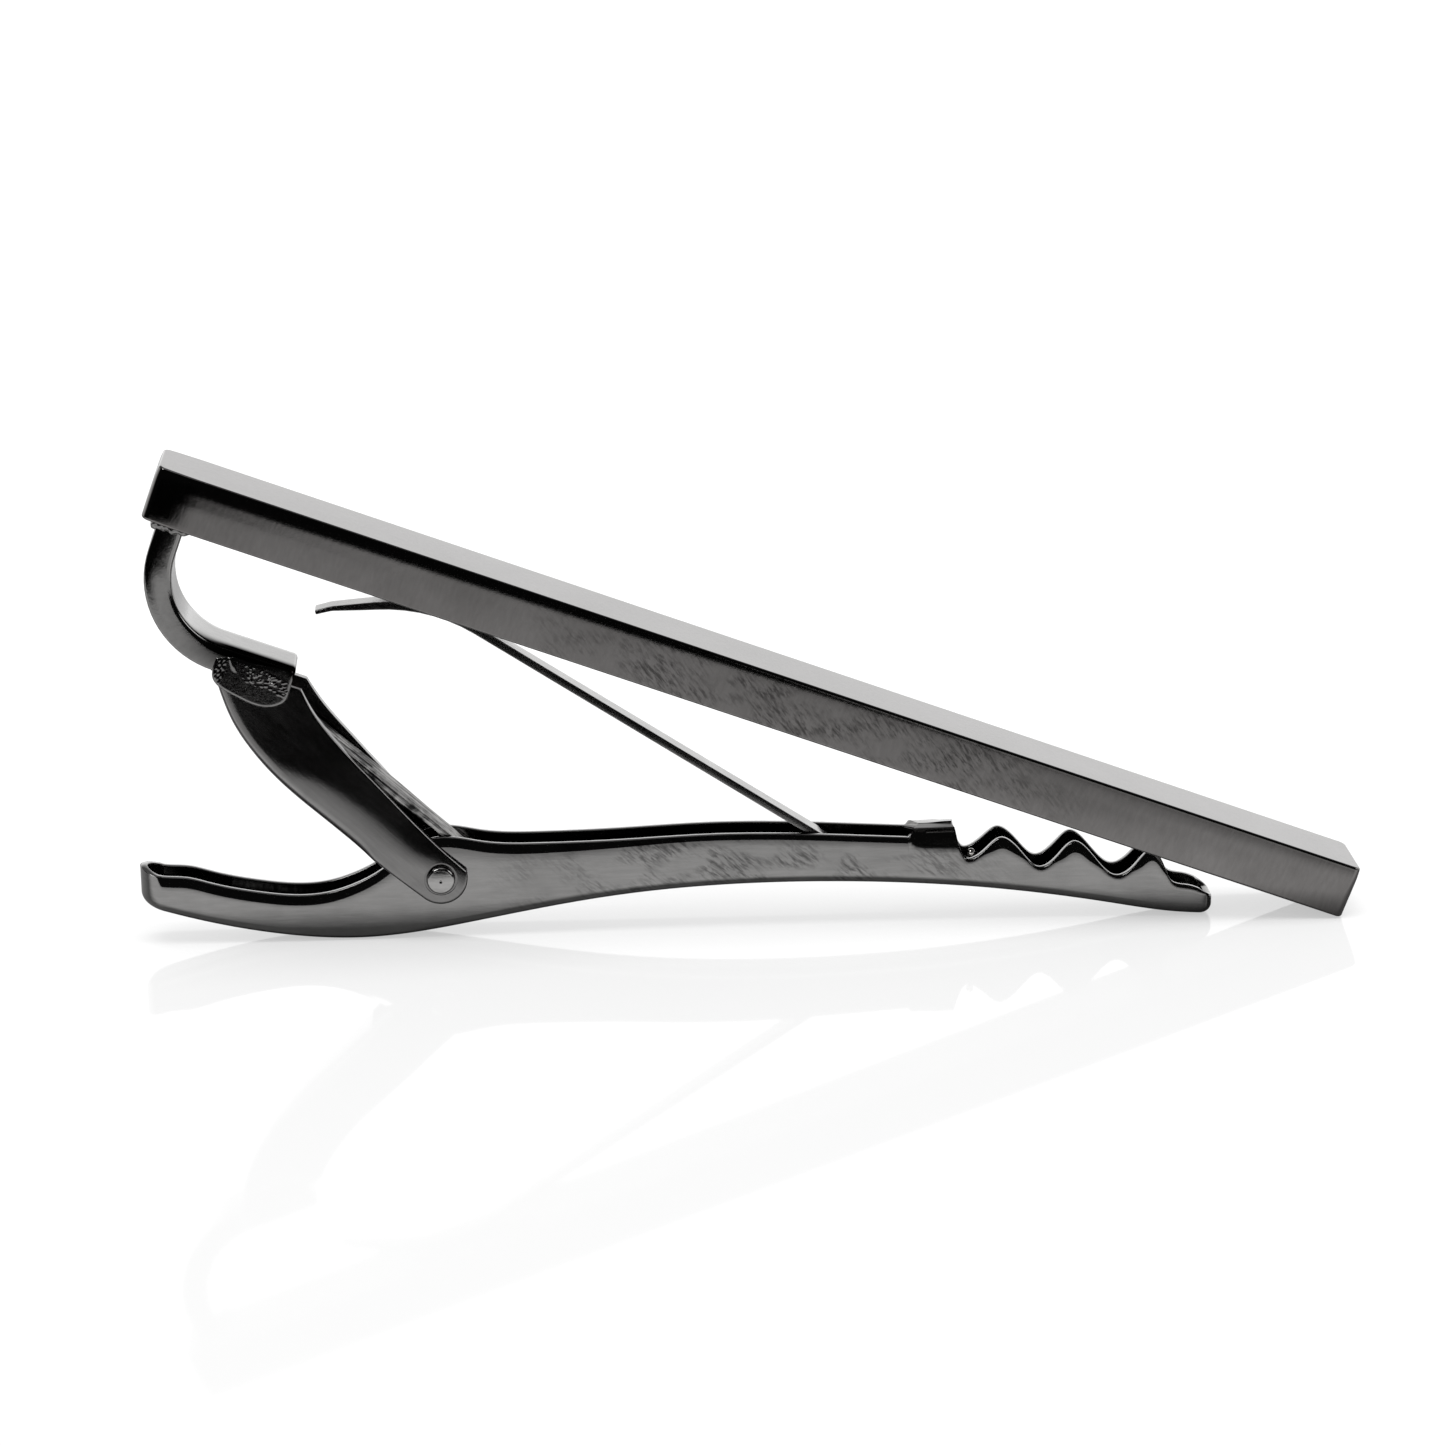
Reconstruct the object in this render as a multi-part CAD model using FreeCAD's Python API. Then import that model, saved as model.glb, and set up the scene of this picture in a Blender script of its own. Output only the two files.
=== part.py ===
import FreeCAD, Part
import math
import os

# Tie clip: a solid bar with an alligator clip behind it. All sizes are in millimetres.
#
# The parts are drawn in a design frame with its origin on the rivet's axis, +X towards the teeth,
# +Y across the clip and +Z up. The bar, its arm and the foot are drawn in the bar's own frame (s, h):
# s runs along the bar towards the teeth, h away from the rivet, square to the bar's underside.
# write_parts() moves everything so that the origin is under the middle of the whole clip.
# The clip is closed: the third pair of teeth and the leaf spring both press on the bar's underside.

# bar
BAR_LENGTH = 60.0
BAR_WIDTH = 4.0
BAR_THICK = 2.6
BAR_TILT = 20.6            # degrees that the bar slopes down towards the teeth
BAR_REAR = -18.65          # s of the bar's rear end
BAR_UNDER = 12.22          # h of the bar's underside
BAR_CORNER = 0.55          # rounding of the bar's four upright corners
BAR_BEVEL = 0.1

# jaw: a folded boat, closed round at the tail and at the nose
JAW_WIDTH = 2.2
SHEET = 0.35               # wall of the jaw
JAW_TAIL = -14.2
JAW_NOSE = 36.93
JAW_BLANK_TOP = 3.0        # height of the walls before they are trimmed
JAW_DEEP = -6.0            # a height below the whole jaw
JAW_ROUND = 0.5            # outer rounding between the floor and the walls
INNER_ROUND = 0.2
NOSE_ROUND = 0.65          # outer rounding of the nose's upright corners
JAW_BOTTOM = [(JAW_TAIL, -1.15), (-12.2, -1.78), (-8.0, -2.75), (-3.6, -3.10), (1.8, -2.40), (8.0, -1.38),
              (14.0, -0.94), (20.0, -1.00), (26.0, -1.48), (32.0, -2.43), (35.3, -2.99), (JAW_NOSE, -3.10)]
JAW_RIM = [(JAW_TAIL - 1.0, 0.90), (JAW_TAIL, 0.64), (-13.2, 0.33), (-12.0, 0.22), (-10.9, -0.08),
           (-8.6, -0.60), (-6.8, -0.81), (-5.4, -0.72), (-4.15, -0.35), (-2.6, 0.50), (-0.9, 1.72),
           (0.4, 1.90), (2.0, 1.62), (4.6, 1.46), (8.5, 1.52), (12.6, 1.67), (16.6, 1.60), (20.0, 1.40),
           (22.2, 1.26)]
EAR_FLOOR = 0.60           # z where the ears start to lean inwards
TOOTH_WAVE = [(24.66, 0.80), (25.05, 0.12), (25.85, 0.50), (26.66, 1.10), (27.62, 0.42), (28.60, -0.40),
              (29.35, 0.10), (30.15, 0.80), (31.25, -0.10), (32.34, -0.94), (33.10, -0.45), (33.95, 0.275),
              (34.55, -0.55), (35.02, -1.38), (35.80, -1.58), (36.40, -1.82), (JAW_NOSE, -2.15),
              (JAW_NOSE + 1.0, -2.90)]

# ears: two tongues of the jaw's walls, folded over the leaf spring's root
EAR_LEFT = 22.22
EAR_RIGHT = 24.66
EAR_PATH = [(-0.925, 0.30), (-0.925, 0.72), (-0.76, 1.38), (-0.06, 1.45)]     # middle of the sheet, in (y, z)
EAR_BENDS = [0.5, 0.22]
EAR_START = EAR_LEFT - 0.05      # the tongue runs a little into the wall that it grows from
EAR_SIDE = [(EAR_START, 1.24), (23.0, 1.75), (24.38, 1.70), (EAR_RIGHT, 0.80), (EAR_RIGHT, 0.1),
            (EAR_START, 0.1)]

# lever: a channel whose two cheeks straddle the jaw
SIDE_CLEARANCE = 0.03
LEVER_WALL = 0.4
LEVER_GAP = JAW_WIDTH + 2 * SIDE_CLEARANCE
LEVER_WIDTH = LEVER_GAP + 2 * LEVER_WALL
LEVER_END = 1.27           # radius of the cheeks' round end about the rivet
LEVER_ROUND = 0.5
LEVER_WEB = [(-3.13, 0.96), (-5.25, 2.93), (-7.36, 4.93), (-8.70, 6.60), (-9.50, 8.00), (-9.95, 9.25),
             (-10.40, 10.9)]
LEVER_LIP = [(-2.70, 4.60), (-5.35, 8.10), (-6.20, 9.55)]
LEVER_AXIS = 134.6         # direction of the lever from the rivet, degrees
END_ARC = (229.6, 302.4, 375.3)  # directions from the rivet to the round end's start, middle and finish
WEB_START = 3.4            # distance from the rivet at which the web starts

# arm: a bent strap from the bar's underside to the foot across the lever's top
ARM_THICK = 1.27
ARM_OUTER = -17.87         # s of the upright leg's outer face
ARM_BEND = 3.3             # inner radius of the bend
FOOT_TOP = 7.55            # h of the foot's upper face
FOOT_END = -9.64           # s of the foot's free end
FOOT_UNDER = FOOT_TOP - ARM_THICK

# rivet
RIVET_RADIUS = 0.45
RIVET_HOLE = 0.49          # running hole in the jaw
HEAD_RADIUS = 0.70
HEAD_RIM = 0.06
HEAD_DOME = 0.26
DIMPLE_RADIUS = 0.07
DIMPLE_DEPTH = 0.03

# hairpin spring: one leg under the foot, a bend round the rivet, one leg on the tail's floor
HAIRPIN_THICK = 0.4
HAIRPIN_WIDTH = 1.3
HAIRPIN_PATH = [(-9.60, 10.10), (-7.67, 9.36), (3.15, -0.56), (-5.0, -2.40), (-10.2, -1.67)]
HAIRPIN_BENDS = [2.5, 1.47, 6.0]

# leaf spring: clamped under the ears at its root, pressing on the bar near its free end
LEAF_THICK = 0.35
LEAF_WIDTH = 1.16
LEAF_PATH = [(25.8, -0.88), (24.25, 0.97), (18.06, 1.25), (-0.15, 13.31), (-4.7, 13.12), (-5.45, 12.95)]
LEAF_BENDS = [0.45, 0.6, 7.9, 1.5]

# solder
COLLAR_FLARE = 0.32        # how far the solder spreads round the arm on the bar's underside
COLLAR_DEPTH = 0.45
COLLAR_FOOT = 0.06         # its thickness at the lower edge
BEAD_PROUD = 0.2
BEAD_ROUND = 0.14
BEAD_OUTLINE = [(-13.35, 6.95), (-11.5, 7.2), (-9.75, 7.3), (-9.66, 6.0), (-10.2, 5.5), (-11.9, 5.45),
                (-13.2, 5.95)]

CUTTER = 30.0              # size of the blocks that trim a part, larger than any part that they trim
TINY = 1e-3


def in_plane(points, y=0.0):
    return [FreeCAD.Vector(x, y, z) for x, z in points]


def smooth(points):
    """One smooth edge through points of the XZ plane."""
    curve = Part.BSplineCurve()
    curve.interpolate(in_plane(points))
    return curve


def parallel(curve, distance, count=24):
    """A curve beside another one in the XZ plane, on its left for a positive distance."""
    points = []
    for i in range(count + 1):
        along = curve.FirstParameter + (curve.LastParameter - curve.FirstParameter) * i / count
        place = curve.value(along)
        way = curve.tangent(along)[0]
        points.append((place.x - way.z * distance, place.z + way.x * distance))
    return smooth(points)


def straight(*points):
    corners = in_plane(points)
    return [Part.LineSegment(a, b).toShape() for a, b in zip(corners, corners[1:])]


def slab(edges, width):
    """A closed outline in the XZ plane, thickened to the given width about Y = 0."""
    face = Part.Face(Part.Wire(Part.__sortEdges__(edges)))
    face.translate(FreeCAD.Vector(0, -width / 2, 0))
    return face.extrude(FreeCAD.Vector(0, width, 0))


def side_line(path, bends, offset):
    """One side of a bent strip: its path moved sideways by offset, with an arc at each inner point."""
    ways = []
    for (x0, z0), (x1, z1) in zip(path, path[1:]):
        length = math.hypot(x1 - x0, z1 - z0)
        ways.append(((x1 - x0) / length, (z1 - z0) / length))
    starts = [(path[0][0] - ways[0][1] * offset, path[0][1] + ways[0][0] * offset)]
    middles = []
    for i, bend in enumerate(bends):
        (ax, az), (bx, bz) = ways[i], ways[i + 1]
        turn = math.atan2(ax * bz - az * bx, ax * bx + az * bz)
        reach = bend * math.tan(abs(turn) / 2)
        side = math.copysign(1.0, turn)
        corner = path[i + 1]
        first = (corner[0] - ax * reach, corner[1] - az * reach)
        centre = (first[0] - az * bend * side, first[1] + ax * bend * side)
        radius = bend - offset * side
        for share in (0.0, 0.5, 1.0):
            angle = math.atan2(az, ax) - side * math.pi / 2 + turn * share
            point = (centre[0] + radius * math.cos(angle), centre[1] + radius * math.sin(angle))
            (middles if share == 0.5 else starts).append(point)
    starts.append((path[-1][0] - ways[-1][1] * offset, path[-1][1] + ways[-1][0] * offset))
    return starts, middles


def strip_edges(path, bends, thick):
    """The outline of a bent strip whose middle follows the path."""
    edges = []
    ends = []
    for offset in (thick / 2, -thick / 2):
        starts, middles = side_line(path, bends, offset)
        points = in_plane(starts)
        turns = in_plane(middles)
        for i, (a, b) in enumerate(zip(points, points[1:])):
            edge = Part.Arc(a, turns[i // 2], b) if i % 2 else Part.LineSegment(a, b)
            edges.append(edge.toShape())
        ends.append((points[0], points[-1]))
    edges += [Part.LineSegment(ends[0][i], ends[1][i]).toShape() for i in (0, 1)]
    return edges


def soften(solid, radius, chosen):
    """Round the edges that the test picks."""
    edges = [edge for edge in solid.Edges if chosen(edge)]
    return solid.makeFillet(radius, edges)


def on_side(edge, y):
    box = edge.BoundBox
    return abs(box.YMin - y) < TINY and abs(box.YMax - y) < TINY


def upright(edge):
    box = edge.BoundBox
    return box.XLength < TINY and box.YLength < TINY


def cross_rod(radius):
    """A rod along the rivet's axis, longer than the clip is wide."""
    start = FreeCAD.Vector(0, -LEVER_WIDTH, 0)
    return Part.makeCylinder(radius, 2 * LEVER_WIDTH, start, FreeCAD.Vector(0, 1, 0))


def mirrored(shape):
    return shape.mirror(FreeCAD.Vector(0, 0, 0), FreeCAD.Vector(0, 1, 0))


def tilt_with_bar(shape):
    """Turn a shape drawn with s as X and h as Z into the design frame."""
    shape.rotate(FreeCAD.Vector(0, 0, 0), FreeCAD.Vector(0, 1, 0), BAR_TILT)
    return shape


def make_bar():
    corner = FreeCAD.Vector(BAR_REAR, -BAR_WIDTH / 2, BAR_UNDER)
    bar = Part.makeBox(BAR_LENGTH, BAR_WIDTH, BAR_THICK, corner)
    bar = soften(bar, BAR_CORNER, upright)
    rims = [edge for edge in bar.Edges if edge.BoundBox.ZLength < TINY]
    return tilt_with_bar(bar.makeChamfer(BAR_BEVEL, rims))


def make_arm():
    middle = ARM_THICK / 2
    upright = ARM_OUTER + middle
    path = [(upright, BAR_UNDER), (upright, FOOT_TOP - middle), (FOOT_END, FOOT_TOP - middle)]
    arm = slab(strip_edges(path, [ARM_BEND + middle], ARM_THICK), LEVER_WIDTH)
    return tilt_with_bar(arm)


def make_bar_solder():
    """A flared collar of solder round the arm's top."""
    collar = []
    for flare, h in ((COLLAR_FLARE, BAR_UNDER), (COLLAR_FOOT, BAR_UNDER - COLLAR_DEPTH)):
        left = ARM_OUTER - flare
        right = ARM_OUTER + ARM_THICK + flare
        side = LEVER_WIDTH / 2 + flare
        ring = [(left, -side), (right, -side), (right, side), (left, side), (left, -side)]
        collar.append(Part.makePolygon([FreeCAD.Vector(s, y, h) for s, y in ring]))
    lump = Part.makeLoft(collar, True, True)
    low = FreeCAD.Vector(ARM_OUTER, -LEVER_WIDTH / 2, BAR_UNDER - COLLAR_DEPTH)
    lump = lump.cut(Part.makeBox(ARM_THICK, LEVER_WIDTH, COLLAR_DEPTH, low))
    return tilt_with_bar(lump)


def make_lever_solder():
    """A bead on each side where the foot sits on the lever's cheeks."""
    ring = BEAD_OUTLINE + BEAD_OUTLINE[:1]
    face = Part.Face(Part.makePolygon(in_plane(ring, LEVER_WIDTH / 2)))
    bead = face.extrude(FreeCAD.Vector(0, BEAD_PROUD, 0))
    outer = LEVER_WIDTH / 2 + BEAD_PROUD
    bead = soften(bead, BEAD_ROUND, lambda edge: on_side(edge, outer))
    far = tilt_with_bar(bead)
    return Part.makeCompound([mirrored(far), far])


def end_point(direction):
    """A point of the cheeks' round end, in a direction from the rivet in degrees."""
    angle = math.radians(direction)
    return LEVER_END * math.cos(angle), LEVER_END * math.sin(angle)


def make_lever():
    web_curve = smooth(LEVER_WEB)
    end = [end_point(direction) for direction in END_ARC]
    outline = [Part.Arc(*in_plane(end)).toShape(), web_curve.toShape()]
    outline += straight(end[0], LEVER_WEB[0])
    outline += straight(end[-1], *LEVER_LIP, LEVER_WEB[-1])
    lever = soften(slab(outline, LEVER_WIDTH), LEVER_ROUND, along_web)
    for tool in (channel_inside(web_curve), pivot_zone(), above_foot(), cross_rod(RIVET_RADIUS)):
        lever = lever.cut(tool)
    return lever


def along_web(edge):
    """True for the two long edges between the web and the cheeks."""
    half = LEVER_WIDTH / 2
    return isinstance(edge.Curve, Part.BSplineCurve) and (on_side(edge, half) or on_side(edge, -half))


def channel_inside(web_curve):
    """The space between the cheeks, on the web's open side."""
    inner = parallel(web_curve, -LEVER_WALL)
    first = inner.value(inner.FirstParameter)
    last = inner.value(inner.LastParameter)
    way_round = [(first.x, first.z), (first.x + CUTTER, first.z - CUTTER), (CUTTER, CUTTER),
                 (last.x, CUTTER), (last.x, last.z)]
    return slab([inner.toShape()] + straight(*way_round), LEVER_GAP)


def pivot_zone():
    """The space near the rivet, where the lever has cheeks and no web."""
    corner = FreeCAD.Vector(-WEB_START, -LEVER_GAP / 2, -WEB_START)
    zone = Part.makeBox(2 * WEB_START, LEVER_GAP, 2 * WEB_START, corner)
    zone.rotate(FreeCAD.Vector(0, 0, 0), FreeCAD.Vector(0, 1, 0), -LEVER_AXIS)
    return zone


def above_foot():
    corner = FreeCAD.Vector(-CUTTER, -CUTTER / 2, FOOT_UNDER)
    return tilt_with_bar(Part.makeBox(CUTTER, CUTTER, CUTTER, corner))


def boat(floor_curve, inset, rounding):
    """A solid with the floor's curve below, upright walls and a rounded lower edge.

    Its walls stand in from the jaw's outside by the inset. It is round at the tail and blunt at the nose.
    """
    tail = JAW_TAIL + inset
    nose = JAW_NOSE - inset
    half = JAW_WIDTH / 2 - inset
    tall = JAW_BLANK_TOP - JAW_DEEP
    plan = Part.makeBox(nose - tail - half, 2 * half, tall, FreeCAD.Vector(tail + half, -half, JAW_DEEP))
    plan = soften(plan, NOSE_ROUND - inset, lambda edge: upright(edge) and edge.BoundBox.XMin > nose - TINY)
    plan = plan.fuse(Part.makeCylinder(half, tall, FreeCAD.Vector(tail + half, 0, JAW_DEEP)))
    first = floor_curve.value(floor_curve.FirstParameter)
    last = floor_curve.value(floor_curve.LastParameter)
    sides = [(last.x, last.z), (last.x, JAW_BLANK_TOP), (first.x, JAW_BLANK_TOP), (first.x, first.z)]
    body = slab([floor_curve.toShape()] + straight(*sides), 2 * half)
    body = body.common(plan.removeSplitter()).removeSplitter()
    floor = min(body.Faces, key=lambda face: face.CenterOfMass.z)
    return body.makeFillet(rounding, floor.Edges)


def make_ears():
    """The two folded tongues, trimmed to their side outline."""
    face = Part.Face(Part.Wire(Part.__sortEdges__(strip_edges(EAR_PATH, EAR_BENDS, SHEET))))
    face.rotate(FreeCAD.Vector(0, 0, 0), FreeCAD.Vector(0, 0, 1), 90)
    face.translate(FreeCAD.Vector(EAR_START, 0, 0))
    tongue = face.extrude(FreeCAD.Vector(EAR_RIGHT - EAR_START, 0, 0))
    tongue = tongue.common(slab(straight(*EAR_SIDE, EAR_SIDE[0]), 2 * JAW_WIDTH))
    return tongue, mirrored(tongue)


def make_jaw():
    bottom = smooth(JAW_BOTTOM)
    jaw = boat(bottom, 0.0, JAW_ROUND).cut(boat(parallel(bottom, SHEET), SHEET, INNER_ROUND))
    side = [smooth(JAW_RIM).toShape(), smooth(TOOTH_WAVE).toShape()]
    side += straight(JAW_RIM[-1], (EAR_LEFT, EAR_FLOOR), (EAR_RIGHT, EAR_FLOOR), TOOTH_WAVE[0])
    side += straight(TOOTH_WAVE[-1], (TOOTH_WAVE[-1][0], JAW_DEEP), (JAW_RIM[0][0], JAW_DEEP), JAW_RIM[0])
    jaw = jaw.common(slab(side, 2 * JAW_WIDTH))
    for ear in make_ears():
        jaw = jaw.fuse(ear)
    return jaw.removeSplitter().cut(cross_rod(RIVET_HOLE))


def make_rivet():
    """The shaft with a dimpled dome at each end."""
    face = LEVER_WIDTH / 2
    edge = face + HEAD_RIM
    top = edge + HEAD_DOME
    sphere = (HEAD_RADIUS ** 2 + HEAD_DOME ** 2) / (2 * HEAD_DOME)
    centre = top - sphere
    middle = HEAD_RADIUS * 0.5
    crown = FreeCAD.Vector(middle, centre + math.sqrt(sphere ** 2 - middle ** 2), 0)
    lip = FreeCAD.Vector(DIMPLE_RADIUS, centre + math.sqrt(sphere ** 2 - DIMPLE_RADIUS ** 2), 0)
    rim = FreeCAD.Vector(HEAD_RADIUS, edge, 0)
    corners = [(0, 0), (RIVET_RADIUS, 0), (RIVET_RADIUS, face), (HEAD_RADIUS, face), (HEAD_RADIUS, edge)]
    points = [FreeCAD.Vector(r, y, 0) for r, y in corners]
    pit = FreeCAD.Vector(0, top - DIMPLE_DEPTH, 0)
    edges = [Part.LineSegment(a, b).toShape() for a, b in zip(points, points[1:])]
    edges.append(Part.Arc(rim, crown, lip).toShape())
    edges += [Part.LineSegment(a, b).toShape() for a, b in ((lip, pit), (pit, points[0]))]
    half = Part.Face(Part.Wire(edges)).revolve(FreeCAD.Vector(0, 0, 0), FreeCAD.Vector(0, 1, 0), 360)
    return half.fuse(mirrored(half)).removeSplitter()


def make_hairpin():
    return slab(strip_edges(HAIRPIN_PATH, HAIRPIN_BENDS, HAIRPIN_THICK), HAIRPIN_WIDTH)


def make_leaf():
    return slab(strip_edges(LEAF_PATH, LEAF_BENDS, LEAF_THICK), LEAF_WIDTH)


def write_parts():
    parts = {
        "bar": make_bar(),
        "arm": make_arm(),
        "lever": make_lever(),
        "jaw": make_jaw(),
        "rivet": make_rivet(),
        "hairpin_spring": make_hairpin(),
        "leaf_spring": make_leaf(),
        "bar_solder": make_bar_solder(),
        "lever_solder": make_lever_solder(),
    }
    whole = Part.makeCompound(list(parts.values())).optimalBoundingBox(False)
    shift = FreeCAD.Vector(-(whole.XMin + whole.XMax) / 2, 0, -whole.ZMin)
    os.makedirs("parts", exist_ok=True)
    for name, shape in parts.items():
        shape.translate(shift)
        shape.exportStep(f"parts/{name}.step")
        print(name, "valid", shape.isValid(), "solids", len(shape.Solids), "volume", round(shape.Volume, 3))
    print("rivet axis at x", round(shift.x, 4), "z", round(shift.z, 4))


write_parts()
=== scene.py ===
import math

import bmesh
import bpy
import numpy as np
from mathutils import Matrix, Vector


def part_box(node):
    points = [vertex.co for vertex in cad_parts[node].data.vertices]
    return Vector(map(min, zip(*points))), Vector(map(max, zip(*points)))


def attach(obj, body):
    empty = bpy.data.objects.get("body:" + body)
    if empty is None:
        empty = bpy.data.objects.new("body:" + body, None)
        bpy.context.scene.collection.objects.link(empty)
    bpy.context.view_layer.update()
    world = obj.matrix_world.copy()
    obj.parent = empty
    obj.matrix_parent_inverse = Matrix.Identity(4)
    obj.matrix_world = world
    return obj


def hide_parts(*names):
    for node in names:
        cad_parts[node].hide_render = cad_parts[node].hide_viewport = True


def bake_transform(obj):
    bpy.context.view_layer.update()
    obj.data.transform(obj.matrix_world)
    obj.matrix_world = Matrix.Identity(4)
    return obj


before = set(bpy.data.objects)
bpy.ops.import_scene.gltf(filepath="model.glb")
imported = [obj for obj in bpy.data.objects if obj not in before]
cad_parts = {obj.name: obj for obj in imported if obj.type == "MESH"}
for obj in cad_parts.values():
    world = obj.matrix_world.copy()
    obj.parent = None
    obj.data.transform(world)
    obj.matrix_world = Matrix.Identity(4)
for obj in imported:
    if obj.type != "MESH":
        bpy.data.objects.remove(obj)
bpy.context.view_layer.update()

# Shapes are drawn in millimetres in the clip's design frame: the origin is on the rivet's axis,
# X runs towards the teeth, Y away from the viewer and Z up. The bar, the arm and the solder are
# drawn in the bar's own frame (s, h) and turned by BAR_TILT. place() moves points into the row
# frame, in metres.
MM = 0.001
MERGE = 1e-5
NUDGE = 1e-3
SHARP = math.radians(38)
PIVOT = (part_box("rivet")[0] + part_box("rivet")[1]) / 2

BAR_TILT = math.radians(20.6)
BAR_REAR, BAR_FRONT = -18.65, 41.35
BAR_UNDER, BAR_TOP = 12.22, 14.82
BAR_HALF = 2.0
BAR_CORNER = 0.34
TOP_EDGE, LOW_EDGE = 0.12, 0.13
ROLL_DEPTH, ROLL_SPAN, ROLL_POWER = 0.8, 0.62, 2.2
ROLL_ANGLE = math.radians(6.5)
END_REACH, END_SPAN = 2.3, 2.2
END_ANGLE = math.radians(8.0)
BAR_STATIONS = 300

JAW_TAIL, JAW_NOSE = -14.2, 36.93
JAW_HALF = 1.1
SHEET = 0.35
OUTER_FOLD, INNER_FOLD = 0.5, 0.18
NOSE_ROUND = 0.65
RIM_ROUND = 0.06
JAW_BOTTOM = [(JAW_TAIL, -1.15), (-12.2, -1.78), (-8.0, -2.75), (-3.6, -3.10), (1.8, -2.40), (8.0, -1.38),
              (14.0, -0.94), (20.0, -1.00), (26.0, -1.48), (32.0, -2.43), (35.3, -2.99), (JAW_NOSE, -3.10)]
JAW_RIM = [(JAW_TAIL - 1.0, 0.90), (JAW_TAIL, 0.64), (-13.2, 0.33), (-12.0, 0.22), (-10.9, -0.08),
           (-8.6, -0.60), (-6.8, -0.81), (-5.4, -0.72), (-4.15, -0.35), (-2.6, 0.50), (-0.9, 1.72),
           (0.4, 1.90), (2.0, 1.62), (4.6, 1.46), (8.5, 1.52), (12.6, 1.67), (16.6, 1.60), (20.0, 1.40),
           (22.2, 1.26)]
SPOT_WELD = (25.25, -0.80, 0.38)
WELD_RADIUS = 0.19
TOOTH_WAVE = [(24.66, 0.80), (25.05, 0.12), (25.85, 0.50), (26.66, 1.10), (27.62, 0.42), (28.60, -0.40),
              (29.35, 0.10), (30.15, 0.80), (31.25, -0.10), (32.34, -0.94), (33.10, -0.45), (33.95, 0.275),
              (34.55, -0.55), (35.02, -1.38), (35.80, -1.58), (36.40, -1.82), (JAW_NOSE, -2.15),
              (JAW_NOSE + 1.0, -2.90)]
EAR_LEFT, EAR_RIGHT = 22.2, 24.66

LEVER_HALF = 1.53
LEVER_INNER = 1.13
LEVER_WEB = [(-3.13, 0.96), (-5.25, 2.93), (-7.36, 4.93), (-8.70, 6.60), (-9.50, 8.00), (-9.95, 9.25),
             (-10.40, 10.9)]
NEAR_LIP = [(-0.31, 1.79), (-1.52, 3.11), (-2.96, 4.77), (-4.21, 6.19), (-5.22, 7.46),
            (-5.70, 8.18), (-6.24, 9.3)]
FAR_LIP = [(-0.31, 1.90), (-1.52, 3.26), (-2.53, 4.62), (-3.26, 5.50), (-3.98, 6.39),
           (-5.36, 8.15), (-6.16, 9.5)]
# The near cheek draws in beyond this line, by these slopes at these distances along the lever.
DRAW_LINE = [(-1.3, 0.85), (0.0, 0.54), (1.0, 0.28), (2.0, -0.03), (4.5, -0.26), (6.0, -0.40),
             (7.8, -0.76), (9.2, -1.25), (10.8, -1.60), (12.5, -1.60), (14.0, -1.50)]
DRAW_AT, DRAW_SLOPE = [0.0, 3.0, 5.0, 7.0, 10.0], [0.28, 0.26, 0.24, 0.215, 0.19]
DRAW_SOFT = 0.6
LEVER_AXIS = math.radians(134.6)
LEVER_WAY = np.array([math.cos(LEVER_AXIS), math.sin(LEVER_AXIS)])
LEVER_ACROSS = np.array([LEVER_WAY[1], -LEVER_WAY[0]])
LEVER_SPINE = [0.0, 3.0, 6.0, 10.4], [0.0, 0.05, 0.15, 0.1]
LEVER_END = 1.27
WEB_START = 3.4
WEB_SHEET = 0.4
RING_GROOVE, RING_DEPTH = 0.79, 0.045

RIVET_SHAFT, RIVET_HEAD, RIVET_RIM = 0.45, 0.66, 0.13
RIVET_FACE = LEVER_HALF - 0.05
RIVET_RISE = 0.32
RIVET_SPHERE = 2.6
ROUND_TURNS = 72

ARM_THICK = 1.27
ARM_OUTER = -17.87
ARM_BEND = 3.3
FOOT_TOP = 7.55
FOOT_END = -9.64
ARM_EDGE = 0.2

HAIRPIN_PATH = [(-9.60, 10.05), (-7.76, 9.26), (3.09, -0.66), (-5.0, -2.40), (-10.2, -1.67)]
HAIRPIN_BENDS = [2.5, 1.47, 6.0]
HAIRPIN_THICK, HAIRPIN_WIDE = 0.4, 1.44
LEAF_LINE = [(25.3, -0.35), (20.48, -0.35), (-0.15, 13.31), (-4.7, 13.12), (-5.45, 12.95)]
LEAF_LINE_BENDS = [1.2, 7.9, 1.5]
LEAF_THICK, LEAF_WIDE = 0.35, 1.16

BEAD_OUTLINE = [(-13.35, 6.95), (-12.6, 7.22), (-11.5, 7.22), (-9.75, 7.22), (-9.64, 6.6),
                (-9.66, 6.0), (-10.2, 5.5), (-11.9, 5.45), (-13.2, 5.95)]
BEAD_CENTRE = np.array([-11.4, 6.35])
BEAD_EDGE = 0.16
SPECKS = 120
SOLDER_BALLS = 26
SOLDER_SIDE = LEVER_HALF + 0.02


# ---------------------------------------------------------------- geometry helpers

def place(points):
    return np.asarray(points, float) * MM + np.array(PIVOT)


def from_bar(points):
    """Points (s, y, h) of the bar's frame, in the design frame."""
    p = np.asarray(points, float)
    s, y, h = p[:, 0], p[:, 1], p[:, 2]
    x = s * math.cos(BAR_TILT) + h * math.sin(BAR_TILT)
    z = h * math.cos(BAR_TILT) - s * math.sin(BAR_TILT)
    return np.stack([x, y, z], 1)


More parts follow.
